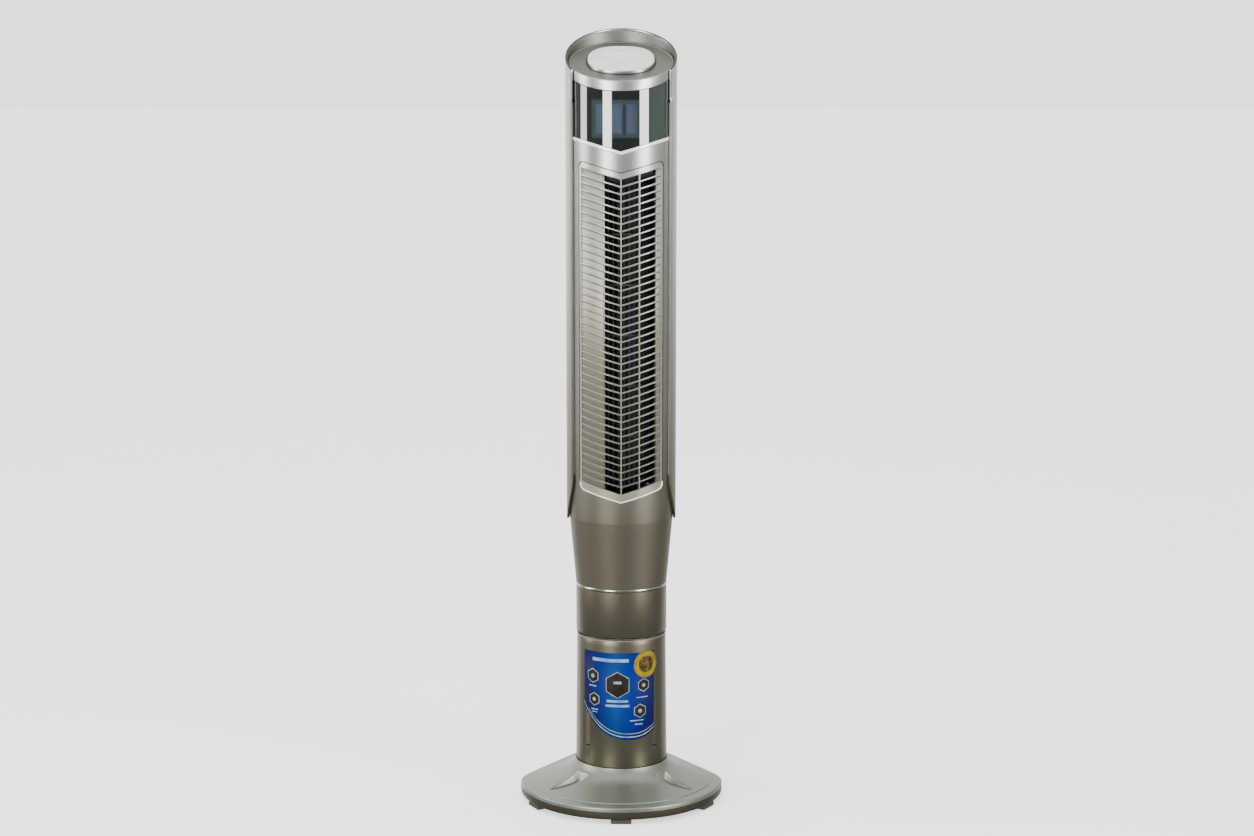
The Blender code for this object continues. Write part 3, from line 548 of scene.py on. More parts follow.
def display_glass():
    """Unlit liquid crystal: blue-grey, a little darker towards its lower edge."""
    surface = Surface("display_glass", 0.0, 0.12)
    share = surface.between(surface.axes()["Z"], 1.005, 1.07)
    base = surface.mix(share, colour(96, 110, 128), colour(134, 150, 166))
    grain = surface.cloud(420.0, (0.9, 0.9, 0.92, 1), WHITE, 2.0, (1, 1, 0.1))
    surface.set("Base Color", surface.mix(1.0, base, grain, "MULTIPLY"))
    surface.vary_roughness(90.0, 0.1, 0.16)
    return surface.material


def label_film(name, first, second, scale=14.0):
    surface = Surface(name, 0.0, 0.28)
    surface.set("Base Color", surface.cloud(scale, first, second, 1.0, edge=0.32))
    surface.vary_roughness(400.0, 0.4, 0.5)
    surface.set("IOR", 1.25)
    return surface.material


def label_blue():
    """The label's blue: lighter in the middle, towards violet and darker at both sides; the
    darkening at the sides is painted shade, where the column turns away from the light.
    """
    surface = Surface("label_blue", 0.0, 0.28)
    shade = surface.ramp(surface.between(surface.axes()["X"], -0.056, 0.05), [
        (0.0, (0.006, 0.003, 0.04, 1)), (0.22, (0.0, 0.01, 0.11, 1)),
        (0.45, (0.0, 0.036, 0.165, 1)), (0.68, (0.0, 0.011, 0.145, 1)),
        (1.0, (0.006, 0.005, 0.05, 1))])
    cloud = surface.cloud(60.0, (0.88, 0.88, 0.9, 1), WHITE)
    surface.set("Base Color", surface.mix(1.0, shade, cloud, "MULTIPLY"))
    surface.vary_roughness(400.0, 0.4, 0.5)
    surface.set("IOR", 1.2)
    return surface.material


# Silver paint that darkens downwards from 1.02 m to 0.44 m: partly painted shade, for light
# that falls off towards the bottom, partly a darker paint low on the body.
SILVER = metallic_paint("silver_paint_fine", (0.6, 0.6, 0.585, 1), (0.162, 0.152, 0.112, 1),
                        (0.44, 1.02))
COVER_SILVER = metallic_paint("silver_paint_base", (0.32, 0.345, 0.295, 1),
                              roughness=0.42)
# Silver paint of the insert, lighter than the shell's low down: painted light on the insert and
# its closed walls; its darkening downwards is painted shade.
INSERT_SILVER = metallic_paint("silver_paint_insert", (0.62, 0.62, 0.6, 1),
                               (0.34, 0.325, 0.25, 1), (0.7, 1.04), 0.36, 0.8)
# Silver paint of the slats, darker downwards: painted shade, for light that falls off towards
# the bottom.
SLAT_SILVER = metallic_paint("silver_paint_slats", (0.6, 0.6, 0.58, 1),
                             (0.16, 0.155, 0.125, 1), (0.46, 0.95), 0.36, 0.85)
# Darker copy of the silver paint for the rear rim's band: painted shade.
RIM_SHADE_GREY = metallic_paint("silver_paint_rim", (0.11, 0.113, 0.098, 1), roughness=0.4)
# Near-black copy of the silver paint for the swept front edges of the rear shell: painted shade
# on their shadow side.
EDGE_SHADE = metallic_paint("silver_paint_edge_shade", (0.085, 0.076, 0.056, 1), roughness=0.42,
                           metallic=0.5)
# Darker copy of the silver paint for the rim's inner wall: painted shade.
RIM_INSIDE_SHADE = metallic_paint("silver_paint_rim_inside", (0.26, 0.265, 0.235, 1),
                            roughness=0.48)
TITANIUM = metallic_paint("titanium_paint_fine", (0.17, 0.158, 0.112, 1),
                          roughness=0.38)
BAND = metallic_paint("titanium_paint_band", (0.05, 0.043, 0.028, 1), roughness=0.42,
                      metallic=0.6)
PANEL = metallic_paint("panel_grey_fine", (0.22, 0.22, 0.19, 1), roughness=0.38)
CHROME = bright_metal("chrome_plating", (0.86, 0.86, 0.85, 1), 0.08)
CHROME_WARM = bright_metal("chrome_ring_plating", (0.6, 0.57, 0.5, 1), 0.2)
SKIRT_METAL = bright_metal("pad_skirt_metal", (0.52, 0.54, 0.49, 1), 0.34)
# Lighter metal for the column's top edge: painted highlight along the edge.
EDGE_HIGHLIGHT_METAL = bright_metal("column_edge_highlight_metal", (0.34, 0.32, 0.26, 1), 0.4, 0.7)
# Near-white, mostly diffuse metal for the chrome V trim and the insert's lower lip: the trim is
# bright metal, and its white tone paints in the chrome's sheen.
BRIGHT_TRIM = bright_metal("bright_trim", (0.96, 0.96, 0.94, 1), 0.24, 0.35)
LABEL_BLUE = label_blue()
LABEL_PALE = label_film("label_pale", colour(84, 112, 166), colour(118, 142, 180), 90.0)
LABEL_GOLD = label_film("label_gold", (0.125, 0.088, 0.0, 1), (0.215, 0.16, 0.002, 1), 70.0)
LABEL_BROWN = label_film("label_brown", (0.02, 0.007, 0.001, 1), (0.11, 0.065, 0.006, 1),
                         160.0)
LABEL_DARK = label_film("label_dark", (0.006, 0.005, 0.004, 1), (0.016, 0.012, 0.009, 1),
                        80.0)
LABEL_GREY = label_film("label_grey", colour(96, 112, 122), colour(134, 144, 144), 90.0)
SMOKED = smoked_gloss()
PAD = moulded_plastic("light_pad_fine", (0.68, 0.69, 0.66, 1), 0.34, 2200.0, 0.04)
# Dark grey for the steps under the slats: painted shadow under each slat, darker towards the
# top.
ROOT_SHADOW = metallic_paint("slat_root_shade", (0.15, 0.145, 0.12, 1),
                           (0.2, 0.19, 0.145, 1), (0.55, 0.9), 0.5, 0.4)
# Dark grey for the bead along the insert's top: painted shadow of the gap.
GAP_SHADOW_GREY = moulded_plastic("gap_shadow_grey", colour(52, 50, 46), 0.6)
# Mid grey for strips in the gaps beside the rear shell's front edges: painted shade of the gap.
EDGE_GAP_SHADE = moulded_plastic("edge_gap_shade_grey", colour(112, 113, 106), 0.5)
IMPELLER_GREY = moulded_plastic("impeller_plastic", colour(58, 63, 60), 0.5)
# Near black for the black plastic parts, and as painted shade on the blackened inner parts, the
# sheet behind the top of the outlet and the ring round the pad.
BLACK_AND_SHADE = moulded_plastic("black_plastic_and_shade", colour(14, 15, 15), 0.62)
NATURAL = moulded_plastic("natural_plastic_fine", colour(206, 203, 190), 0.42)
RUBBER = moulded_plastic("rubber_fine", colour(52, 49, 42), 0.78, 900.0, 0.3)
STEEL = brushed_steel("steel_fine", colour(168, 168, 168))
CASTING = rough_casting()
BOARD = circuit_board()
GLASS = display_glass()

BY_SLOT = {
    "silver_paint": SILVER, "titanium_paint": TITANIUM, "chrome": CHROME,
    "smoked_window": SMOKED, "light_pad": PAD, "panel_grey": PANEL,
    "black_plastic": BLACK_AND_SHADE, "natural_plastic": NATURAL, "steel": STEEL,
    "cast_weight": CASTING, "rubber": RUBBER, "circuit_board": BOARD, "lcd_glass": GLASS,
}


BLACKENED = ("upper_bracket", "motor_bracket", "upper_bearing", "fan_motor")


def finish_cad_nodes():
    """Every carried-over CAD node gets the fine material of its slot; the brackets and the
    motor behind the outlet are blackened as painted shade, so that nothing glints through the
    slats."""
    for row in frame["record"]["subparts"]:
        node = frame["nodes"][row["node"]]
        blackened = row["node"] in BLACKENED
        material = BLACK_AND_SHADE if blackened else BY_SLOT[row["material_slot"]]
        node.data.materials.clear()
        node.data.materials.append(material)


# ---------------------------------------------------------------- base
SCOOP_START_R = 0.08
SCOOP_END_R = 0.135
SCOOP_DEPTH = 0.011
SCOOP_START_TURN = 47.5
SCOOP_END_TURN = 53.0
COVER_LINE = [(0.0712, 0.0592), (0.0735, 0.0552), (0.0775, 0.0502), (0.084, 0.0452),
              (0.093, 0.0405), (0.106, 0.0362), (0.122, 0.0322), (0.134, 0.0294),
              (0.1398, 0.0282), (0.1408, 0.0279), (0.1414, 0.0274), (0.1418, 0.0268)]
RIM_LINE = [(0.1424, 0.0266), (0.144, 0.0265), (0.15, 0.0258), (0.154, 0.0252),
            (0.1555, 0.0245), (0.1561, 0.0234), (0.1562, 0.0215), (0.1562, 0.0183)]


def base_spot(radius, turn, height):
    """A point of the base, whose radii shrink towards the flattened sides."""
    from_front = abs((turn + 180) % 360 - 180)
    facing = max(math.cos(math.radians(from_front - BASE_FLAT_TURN)), 0.0)
    flat = facing * BASE_R / BASE_FLAT_R
    rim = BASE_R * (1 + flat ** BASE_CORNER_POWER) ** (-1 / BASE_CORNER_POWER)
    if radius > BASE_INNER_R:
        radius = BASE_INNER_R + ((radius - BASE_INNER_R) * (rim - BASE_INNER_R)
                                 / (BASE_R - BASE_INNER_R))
    return on_cylinder(radius, turn, height)


def scoop_depth(radius, turn):
    """Two hollows pressed into the cover, each a comma: blunt and deep beside the column,
    drawn out to a fine tip towards the rim."""
    share = (radius - SCOOP_START_R) / (SCOOP_END_R - SCOOP_START_R)
    if not 0 < share < 1:
        return 0.0
    from_front = abs((turn + 180) % 360 - 180)
    middle = SCOOP_START_TURN + (SCOOP_END_TURN - SCOOP_START_TURN) * share
    off = abs(from_front - middle)
    half = 9.5 * (1 - share) ** 0.75 + 0.6
    if off >= half:
        return 0.0
    across = soft_step((half - off) / (0.3 * half + 0.5))
    along = (1 - share) ** 0.8 * soft_step(share / 0.05)
    return SCOOP_DEPTH * across * along


def cover_turns():
    """Steps round the cover, fine where the hollows and the corners of the outline are."""
    half = spaced([0, 34, 64, 78, 102, 150, 168, 180], [14, 80, 7, 24, 16, 12, 5])
    return half + [360 - turn for turn in reversed(half[:-1])]


def base_ring(name, profile, material, nodes=()):
    """A closed ring of (radius, height) that follows the outline of the base."""
    loop = [*profile, profile[0]]
    return sheet_piece(name, cover_turns(), list(reversed(range(len(loop)))),
                       lambda turn, i: base_spot(loop[i][0], turn, loop[i][1]),
                       material, nodes, "base")


def make_base():
    line = smooth_line(COVER_LINE, 12) + smooth_line(RIM_LINE, 4)
    line.reverse()

    def cover_point(turn, row):
        radius, height = line[row]
        return base_spot(radius, turn, height - scoop_depth(radius, turn))

    sheet_piece("base_cover_fine", cover_turns(), list(range(len(line))), cover_point,
                COVER_SILVER, nodes=("base_cover",), body="base", wall=0.0022)

    bottom = PLATE_LOW.z
    top = PLATE_HIGH.z
    recess = bottom + 0.0014
    band = base_ring("base_plate_fine", [
        (0.03, bottom + 0.003), (0.153, bottom + 0.003), (0.1532, top - 0.0004), (0.1536, top),
        (0.156, top), (0.1564, top - 0.0005), (0.1564, 0.014), (0.156, 0.0095),
        (0.1556, bottom + 0.0008), (0.155, bottom), (0.1505, bottom), (0.1502, recess),
        (0.1215, recess), (0.1212, bottom), (0.118, bottom), (0.1177, recess),
        (0.0915, recess), (0.0912, bottom), (0.088, bottom), (0.0877, recess),
        (0.0304, recess), (0.03, bottom + 0.0018),
    ], BAND, ("base_plate",))
    for number in range(3):
        spot = on_cylinder(COLUMN_SCREW_ORBIT, 60 + 120 * number, bottom)
        cut(band, plug_mesh(0.0045, 0.03, spot), "screw_well")
    cut(band, plug_mesh(0.0034, 0.02, (0, 0.1545, 0.0138), turn_to_y=True), "gland_well")
    turned_piece("base_hub_cap", [
        (0.0001, bottom + 0.0026), (0.0292, bottom + 0.0026), (0.0297, bottom + 0.002),
        (0.0297, bottom + 0.0008), (0.029, bottom + 0.0002), (0.02, bottom + 0.0002),
        (0.0196, bottom + 0.0008), (0.0001, bottom + 0.0008),
    ], BAND, "base", segments=64)
    for number in range(BASE_RIBS):
        make_base_rib(number, bottom)

    for node in [name for name in frame["nodes"] if name.startswith("foot_")]:
        middle, turn, height = spot_of(node)
        mesh = rounded_box(node + "_fine", (0.031, 0.021, height), 0.0018)
        place_piece(node + "_fine", stand_at(mesh, middle, turn), RUBBER, "base",
                    (node,))


def make_base_rib(number, bottom):
    """One stiffening rib under the base, between the hub and the outer ring."""
    turn = 9 + 360 / BASE_RIBS * number
    inner = base_spot(0.091, turn, bottom + 0.0007)
    outer = base_spot(0.1184, turn, bottom + 0.0007)
    mesh = rounded_box("base_rib", (0.0014, (outer - inner).length, 0.0012), 0.0003, 1)
    place_piece("base_rib_%02d" % (number + 1), stand_at(mesh, (inner + outer) / 2, turn),
                BAND, "base")


def plug_mesh(radius, depth, centre, turn_to_y=False, segments=32):
    bm = bmesh.new()
    bmesh.ops.create_cone(bm, cap_ends=True, segments=segments, radius1=radius,
                          radius2=radius, depth=depth)
    mesh = mesh_of(bm, "plug")
    if turn_to_y:
        mesh.transform(Matrix.Rotation(math.radians(90), 4, "X"))
    mesh.transform(Matrix.Translation(centre))
    return mesh


# ---------------------------------------------------------------- column and neck
def make_column():
    low = COLUMN_LOW.z
    high = COLUMN_HIGH.z
    foot = COLUMN_R_BOTTOM
    top = COLUMN_R_TOP
    column = turned_piece("column_tube_fine", [
        (top - 0.0022, high), (top - 0.001, high), (top - 0.0003, high - 0.0003),
        (top, high - 0.001), (top + 0.0001, high - 0.01), (foot, low + 0.001),
        (foot - 0.0003, low + 0.0003), (foot - 0.0008, low), (foot - 0.0022, low),
    ], TITANIUM, "base", ("column_tube",))
    for turn in (-CLIP_SLOT_TURN, CLIP_SLOT_TURN):
        slot = rounded_box("slot", (0.0085, 0.012, 0.0018), 0.0006, 2)
        cut(column, stand_at(slot, on_cylinder(foot, turn, CLIP_SLOT_Z), turn), "clip_slot")

    # A thin ring on the column's top edge, lighter than the column: the chamfer is real, and
    # its light tone is a painted highlight.
    turned_piece("column_top_ring", [
        (top - 0.0015, high - 0.0006), (top - 0.0001, high - 0.0006),
        (top + 0.0005, high - 0.001), (top + 0.0006, high - 0.0015),
        (top + 0.0004, high - 0.0022), (top - 0.0015, high - 0.0024),
    ], EDGE_HIGHLIGHT_METAL, "base")

    inner = NECK_R - 0.0022
    low = NECK_LOW.z
    high = NECK_HIGH.z
    turned_piece("neck_sleeve_fine", [
        (inner, high), (NECK_R - 0.0006, high), (NECK_R, high - 0.0006),
        (NECK_R, low + 0.0012), (NECK_R - 0.0004, low + 0.0004), (NECK_R - 0.0012, low),
        (inner, low),
    ], TITANIUM, "fan_head", ("neck_sleeve",))

    low = RING_LOW.z
    high = RING_HIGH.z
    half = (high - low) / 2
    rounded = [(NECK_R - 0.001 + 0.0016 * math.cos(math.radians(angle)),
                low + half + half * math.sin(math.radians(angle)))
               for angle in steps(90, -90, 8)]
    turned_piece("chrome_ring_fine", [(inner, high), *rounded, (inner, low)], CHROME_WARM,
                 "fan_head", ("chrome_ring",))


# ---------------------------------------------------------------- label on the column
# Places on the label are (s, z): the distance round the column from the front, and height.
LABEL_LEFT = -0.0652
LABEL_RIGHT = 0.055
LABEL_TOP = 0.2385
LABEL_LOW_S = 0.016
LABEL_LOW_Z = 0.1036
LARGE_SIGN = (-0.0056, 0.1893)
BADGE = (0.0398, 0.2195)
FILM = 0.00012                   # one layer of film


def label_bottom(s):
    """The label's lower edge: an arc, drawn up further on its left."""
    if s < LABEL_LOW_S:
        return LABEL_LOW_Z + 0.046 * ((LABEL_LOW_S - s) / 0.0785) ** 2.4
    return LABEL_LOW_Z + 0.0105 * ((s - LABEL_LOW_S) / 0.0365) ** 2.2


def on_column(s, z, layer):
    share = (z - COLUMN_LOW.z) / (COLUMN_HIGH.z - COLUMN_LOW.z)
    radius = COLUMN_R_BOTTOM + (COLUMN_R_TOP - COLUMN_R_BOTTOM) * share
    return on_cylinder(radius + layer * FILM, math.degrees(s / radius), z)


def film_strip(left, right, low_of, high_of):
    """Grid of places for a strip between two lines, each a function of s."""
    across = max(2, round((right - left) / 0.0025))
    return [[(s, low_of(s) + (high_of(s) - low_of(s)) * share)
             for s in steps(left, right, across)] for share in (0, 0.5, 1)]


def film_bar(s, z, width, height):
    return film_strip(s - width / 2, s + width / 2, lambda _: z - height / 2,
                      lambda _: z + height / 2)


def film_disc(s, z, radius, corners=0):
    """Grid of places for a disc, or for a polygon with a corner at the top."""
    rings = []
    for share in steps(0.02, 1, 6):
        ring = []
        for k in range(43):
            angle = math.tau * k / 42
            reach = radius * share
            if corners:
                half = math.pi / corners
                reach *= math.cos(half) / math.cos(angle % (2 * half) - half)
            ring.append((s + reach * math.sin(angle), z + reach * math.cos(angle)))
        rings.append(ring)
    return rings


def film_piece(name, patches, layer, material):
    """One thin closed piece made of all the patches of a colour."""
    bm = bmesh.new()
    for rows in patches:
        grid = [[bm.verts.new(on_column(s, z, layer)) for s, z in row] for row in rows]
        for low, high in zip(grid, grid[1:]):
            for a, b, c, d in zip(low, low[1:], high[1:], high):
                bm.faces.new((a, b, c, d))
    bmesh.ops.remove_doubles(bm, verts=bm.verts, dist=0.000005)
    for face in bm.faces:
        face.normal_update()
        middle = face.calc_center_median()
        if face.normal.dot(Vector((middle.x, middle.y, 0))) < 0:
            face.normal_flip()
    piece = place_piece(name, mesh_of(bm, name), material, "base")
    add_wall(piece, FILM * 0.9)


def make_label():
    """A plain film label: coloured ground, round badge, four small signs round a large one
    and bars where a printed label would carry words."""
    def above_edge(offset):
        return lambda s: label_bottom(s) + offset

    film_piece("label_ground", [film_strip(LABEL_LEFT, LABEL_RIGHT, label_bottom,
                                           lambda _: LABEL_TOP)], 1, LABEL_BLUE)
    film_piece("label_lines", [
        film_strip(LABEL_LEFT, LABEL_RIGHT, above_edge(0.0036), above_edge(0.0054)),
        film_strip(-0.054, LABEL_RIGHT, above_edge(0.009), above_edge(0.0102)),
    ], 2, LABEL_GREY)

    small = [(-0.0464, 0.2007, 0.0102), (-0.0436, 0.1646, 0.0092), (0.0353, 0.1876, 0.0092),
             (0.0293, 0.148, 0.0098)]
    signs = [*small, (*LARGE_SIGN, 0.0194)]
    film_piece("label_sign_rims", [film_disc(s, z, r + 0.0014, 6) for s, z, r in signs], 2,
               LABEL_GREY)
    film_piece("label_signs", [film_disc(s, z, r, 6) for s, z, r in signs], 3, LABEL_DARK)
    film_piece("label_sign_marks", [
        *[film_disc(s, z, r * 0.32) for s, z, r in small],
        film_bar(LARGE_SIGN[0], LARGE_SIGN[1] + 0.0035, 0.012, 0.004)], 4, LABEL_GREY)

    bars = [(-0.0175, 0.227, 0.058, 0.0052), (-0.047, 0.185, 0.014, 0.002),
            (-0.043, 0.149, 0.013, 0.002), (-0.043, 0.145, 0.009, 0.0018),
            (0.033, 0.169, 0.019, 0.0016), (0.024, 0.1335, 0.022, 0.0018),
            (0.027, 0.1275, 0.013, 0.0022), (-0.006, 0.164, 0.033, 0.0036),
            (-0.006, 0.1568, 0.037, 0.0038)]
    film_piece("label_bars", [film_bar(*bar) for bar in bars], 2, LABEL_PALE)

    film_piece("label_badge", [film_disc(*BADGE, 0.0208)], 3, LABEL_GOLD)
    film_piece("label_badge_middle", [film_disc(*BADGE, 0.0128)], 4, LABEL_BROWN)


# ---------------------------------------------------------------- front shell and insert
def v_line(x, height_in_middle):
    return height_in_middle + V_SLOPE * abs(x)


def rounded_corners(corners, radii, per_corner=6):
    """A closed outline with its corners rounded to the given radii."""
    points = []
    count = len(corners)
    for i, radius in enumerate(radii):
        here = Vector(corners[i])
        before = (Vector(corners[i - 1]) - here).normalized()
        after = (Vector(corners[(i + 1) % count]) - here).normalized()
        if radius <= 0:
            points.append(tuple(here))
            continue
        half = math.acos(max(-1, min(1, before.dot(after)))) / 2
        reach = radius / math.tan(half)
        centre = here + (before + after).normalized() * (radius / math.sin(half))
        first = here + before * reach - centre
        last = here + after * reach - centre
        sweep = first.angle_signed(last)
        for k in range(per_corner + 1):
            angle = -sweep * k / per_corner
            c, s = math.cos(angle), math.sin(angle)
            points.append((centre.x + first.x * c - first.y * s,
                           centre.y + first.x * s + first.y * c))
    return points


def insert_outline(grow=0.0):
    """The grille insert seen from the front: V below, V above, rounded side corners."""
    half = INSERT_HALF_W + grow
    low = INSERT_BOTTOM - grow
    high = INSERT_TOP + grow
    corners = [(0, low), (half, v_line(half, low)), (half, v_line(half, high)), (0, high),
               (-half, v_line(half, high)), (-half, v_line(half, low))]
    return rounded_corners(corners, [0.0015, 0.005, 0.005, 0.0015, 0.005, 0.005])


def front_prism(name, outline):
    """A cutter with an outline in X and Z, run through the front wall in Y."""
    near, far = -0.12, -0.02
    bm = bmesh.new()
    face = bm.faces.new([bm.verts.new((x, near, z)) for x, z in outline])
    grown = bmesh.ops.extrude_face_region(bm, geom=[face])
    moved = [item for item in grown["geom"] if isinstance(item, bmesh.types.BMVert)]
    bmesh.ops.translate(bm, vec=(0, far - near, 0), verts=moved)
    bmesh.ops.recalc_face_normals(bm, faces=bm.faces)
    return mesh_of(bm, name)


def v_bead(name, half, middle, reach, roundings, radius, thickness, material):
    """A thin round bead on the front of the cylinder, along a V with its middle at a height
    and its ends drawn up or down at half the width by reach."""
    side = v_line(half, middle)
    round_side, round_middle = roundings
    line = rounded_corners([(-half, side + reach), (-half, side), (0, middle), (half, side),
                            (half, side + reach)],
                           [0, round_side, round_middle, round_side, 0])
    dense = []
    for start, end in zip(line, line[1:]):
        start, end = Vector(start), Vector(end)
        pieces = max(1, int((end - start).length / 0.004))
        dense += [start.lerp(end, k / pieces) for k in range(pieces)]
    dense.append(Vector(line[-1]))

    curve = bpy.data.curves.new(name, "CURVE")
    curve.dimensions = "3D"
    curve.bevel_depth = thickness
    curve.bevel_resolution = 3
    curve.use_fill_caps = True
    spline = curve.splines.new("POLY")
    spline.points.add(len(dense) - 1)
    for point, spot in zip(spline.points, dense):
        point.co = (spot.x, -math.sqrt(radius ** 2 - spot.x ** 2), spot.y, 1)
    curve.materials.append(material)
    take_in(bpy.data.objects.new(name, curve), "fan_head")


def make_front_shell():
    taper_low = SHELL_LOW.z
    low = CREASE_Z + CREASE_BAND
    top = V_TRIM_BOTTOM - 0.0003

    def shell_point(turn, share):
        """share 0..1 climbs the taper, 1..2 the crease band, 2..3 the body up to the V."""
        if share <= 1:
            radius = NECK_R + (BODY_R - NECK_R) * share
            if share > 0.9:
                radius -= CREASE_DEPTH * soft_step((share - 0.9) / 0.1)
            return on_cylinder(radius, turn, taper_low + (CREASE_Z - taper_low) * share)
        if share <= 2:
            near = soft_step((share - 1) / 0.15)
            return on_cylinder(BODY_R - CREASE_DEPTH * (1 - near), turn,
                               CREASE_Z + CREASE_BAND * (share - 1))
        return on_slant(BODY_R, turn, lambda x, y: mix(low, v_line(x, top), share - 2))

    shell = sheet_piece("front_shell_fine",
                        spaced([-180, -100, 0, 100, 180], [24, 60, 60, 24]),
                        spaced([0, 0.9, 1, 1.15, 2, 3], [9, 3, 3, 3, 60]),
                        shell_point, SILVER, nodes=("front_shell",), wall=0.0024,
                        is_open=lambda turn, share: abs(turn) > 100 and share > 2)
    cut(shell, front_prism("insert_window", insert_outline(0.0007)), "insert_window")

    # A dark bead along the top of the insert: painted shadow of the gap above it.
    v_bead("insert_upper_shadow_gap", INSERT_HALF_W + 0.0003, INSERT_TOP + 0.0004, -0.0095,
           (0.006, 0.0012), BODY_R - 0.0003, 0.0008, GAP_SHADOW_GREY)
    # A near-white bead along the insert's lower lip: the lip is real, and its white is a
    # painted highlight where it catches the light.
    v_bead("insert_lower_lip", INSERT_HALF_W - 0.0008, INSERT_BOTTOM, 0.0105,
           (0.009, 0.002), BODY_R + 0.0002, 0.001, BRIGHT_TRIM)


def make_insert():
    """The outlet insert: a curved plate with V borders and upright ribs, closed walls set
    back beside the outlet, and V slats over all of it."""
    front = BODY_R - 0.0005
    half = INSERT_HALF_W - 0.0002
    stile = 0.003
    border_low = INSERT_BOTTOM + 0.012
    border_high = INSERT_TOP - 0.009
    pitch = (border_high - border_low) / (SLAT_COUNT + 1)
    ribs = [(0.0, 0.0019), (SECOND_RIB_X, 0.0012)]
    lines = [-half, -half + stile]
    for x, width in ribs:
        lines += [x - width / 2, x + width / 2]
    lines += [half - stile, half]
    counts = [max(1, round((b - a) / 0.0035)) for a, b in zip(lines, lines[1:])]

    def is_open(x, z):
        if abs(x) > half - stile or not border_low < z < border_high:
            return False
        return not any(abs(x - middle) < width / 2 for middle, width in ribs)

    def insert_point(radius):
        return lambda x, z: on_cylinder(radius, turn_at(x, radius), v_line(x, z))

    plate = sheet_piece("grille_insert_frame", spaced(lines, counts),
                        [INSERT_BOTTOM, border_low, border_high, INSERT_TOP],
                        insert_point(front), INSERT_SILVER, nodes=("grille_insert",),
                        is_open=is_open, wall=0.006)
    cut(plate, front_prism("insert_trim", insert_outline(-0.0002)), "insert_trim", "INTERSECT")
    add_bevel(plate, 0.0004, 2, 60)

    for name, left, right in (("outlet_wall_left", -half + 0.002, OUTLET_LEFT),
                              ("outlet_wall_right", OUTLET_RIGHT, half - 0.002)):
        sheet_piece(name, steps(left, right, 12), [border_low - 0.002, border_high + 0.002],
                    insert_point(front - 0.0012), INSERT_SILVER, wall=0.004)
    # A black sheet behind the top of the outlet: painted shade, blacking out the top of the
    # bay.
    sheet_piece("outlet_head_shade_sheet", steps(OUTLET_LEFT, OUTLET_RIGHT, 16),
                [border_high - 0.0085, border_high + 0.004], insert_point(front - 0.0068),
                BLACK_AND_SHADE, wall=0.001)

    heights = [border_low + (number + 1) * pitch for number in range(SLAT_COUNT)]
    place_piece("grille_slats", slat_mesh(front, half - 0.0024, heights), SLAT_SILVER,
                smooth_angle=50)
    for name, left, right in (("slat_roots_left", -half + 0.0026, OUTLET_LEFT - 0.0002),
                              ("slat_roots_right", OUTLET_RIGHT + 0.0002, half - 0.0026)):
        place_piece(name, slat_root_mesh(left, right, front - 0.001, heights), ROOT_SHADOW)


def swept_v(xs, height, radius, section):
    """Rings of a bar that follows the V at a height: section points are (inward, up)."""
    return [[on_cylinder(radius - inward, turn_at(x, radius), v_line(x, height) + up)
             for inward, up in section] for x in xs]


def slat_root_mesh(left, right, radius, heights):
    """The narrow steps under the slats where they meet a closed wall, in dark grey: painted
    shadow under each slat, darkest at the top.
    """
    section = [(0, -0.001), (0, -0.0022), (0.0006, -0.0022), (0.0006, -0.001)]
    xs = steps(left, right, 8)
    return solids_mesh("slat_roots", [swept_v(xs, z, radius, section) for z in heights])


def slat_mesh(front, half, heights):
    """V blades with rounded noses, each a swept section."""
    depth = 0.0051
    thick = 0.0026
    section = [(0.0012 - 0.0011 * math.cos(turn), thick / 2 * math.sin(turn))
               for turn in [math.radians(angle) for angle in steps(-80, 80, 6)]]
    section += [(depth, thick * 0.36), (depth, -thick * 0.36)]
    xs = steps(-half, 0, 26) + steps(0, half, 26)[1:]
    return solids_mesh("grille_slats", [swept_v(xs, z, front, section) for z in heights])


# ---------------------------------------------------------------- window and V trim
def make_window():
    turns = spaced([-66, 0, 66], [44, 44])
    bottom = V_TRIM_BOTTOM + V_TRIM_H + 0.0003
    top_on_axis = TOP_PANEL_Z - TOP_RING_H - 0.0003

    def trim_point(turn, share):
        return on_slant(BODY_R + 0.0006, turn,
                        lambda x, y: v_line(x, V_TRIM_BOTTOM) + V_TRIM_H * share)

    def window_point(turn, share):
        return on_slant(BODY_R - 0.0004, turn,
                        lambda x, y: mix(v_line(x, bottom), top_on_axis + TOP_SLOPE * y, share))

    def mask_point(turn, share):
        spot = window_point(turn, 0.02 + 0.96 * share)
        flat = Vector((spot.x, spot.y, 0)).normalized() * (BODY_R - 0.0034)
        return Vector((flat.x, flat.y, spot.z))

    # The chrome V trim in near-white bright_trim: partly its own bright metal, partly painted
    # sheen.
    sheet_piece("chrome_v_trim_fine", turns, [0, 0.5, 1], trim_point, BRIGHT_TRIM,
                ("chrome_v_trim",), wall=0.0028, bevel=(0.0008, 4))
    sheet_piece("display_window_fine", turns, steps(0, 1, 12), window_point, SMOKED,
                ("display_window",), wall=0.002, bevel=(0.0004, 2))

    left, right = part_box("display_module")

    def on_display(turn, share):
        spot = mask_point(turn, share)
        return left.x < spot.x < right.x and left.z < spot.z < right.z

    sheet_piece("window_mask", spaced([-65, 0, 65], [65, 65]), steps(0, 1, 60), mask_point,
                BLACK_AND_SHADE, is_open=on_display, wall=0.0006)


# ---------------------------------------------------------------- rear shell
def rear_edge_turn(height):
    if height >= REAR_SWEEP_Z:
        return REAR_EDGE_TURN
    share = (REAR_SWEEP_Z - height) / (REAR_SWEEP_Z - REAR_TIP_Z)
    return REAR_EDGE_TURN + 22 * share ** 1.3


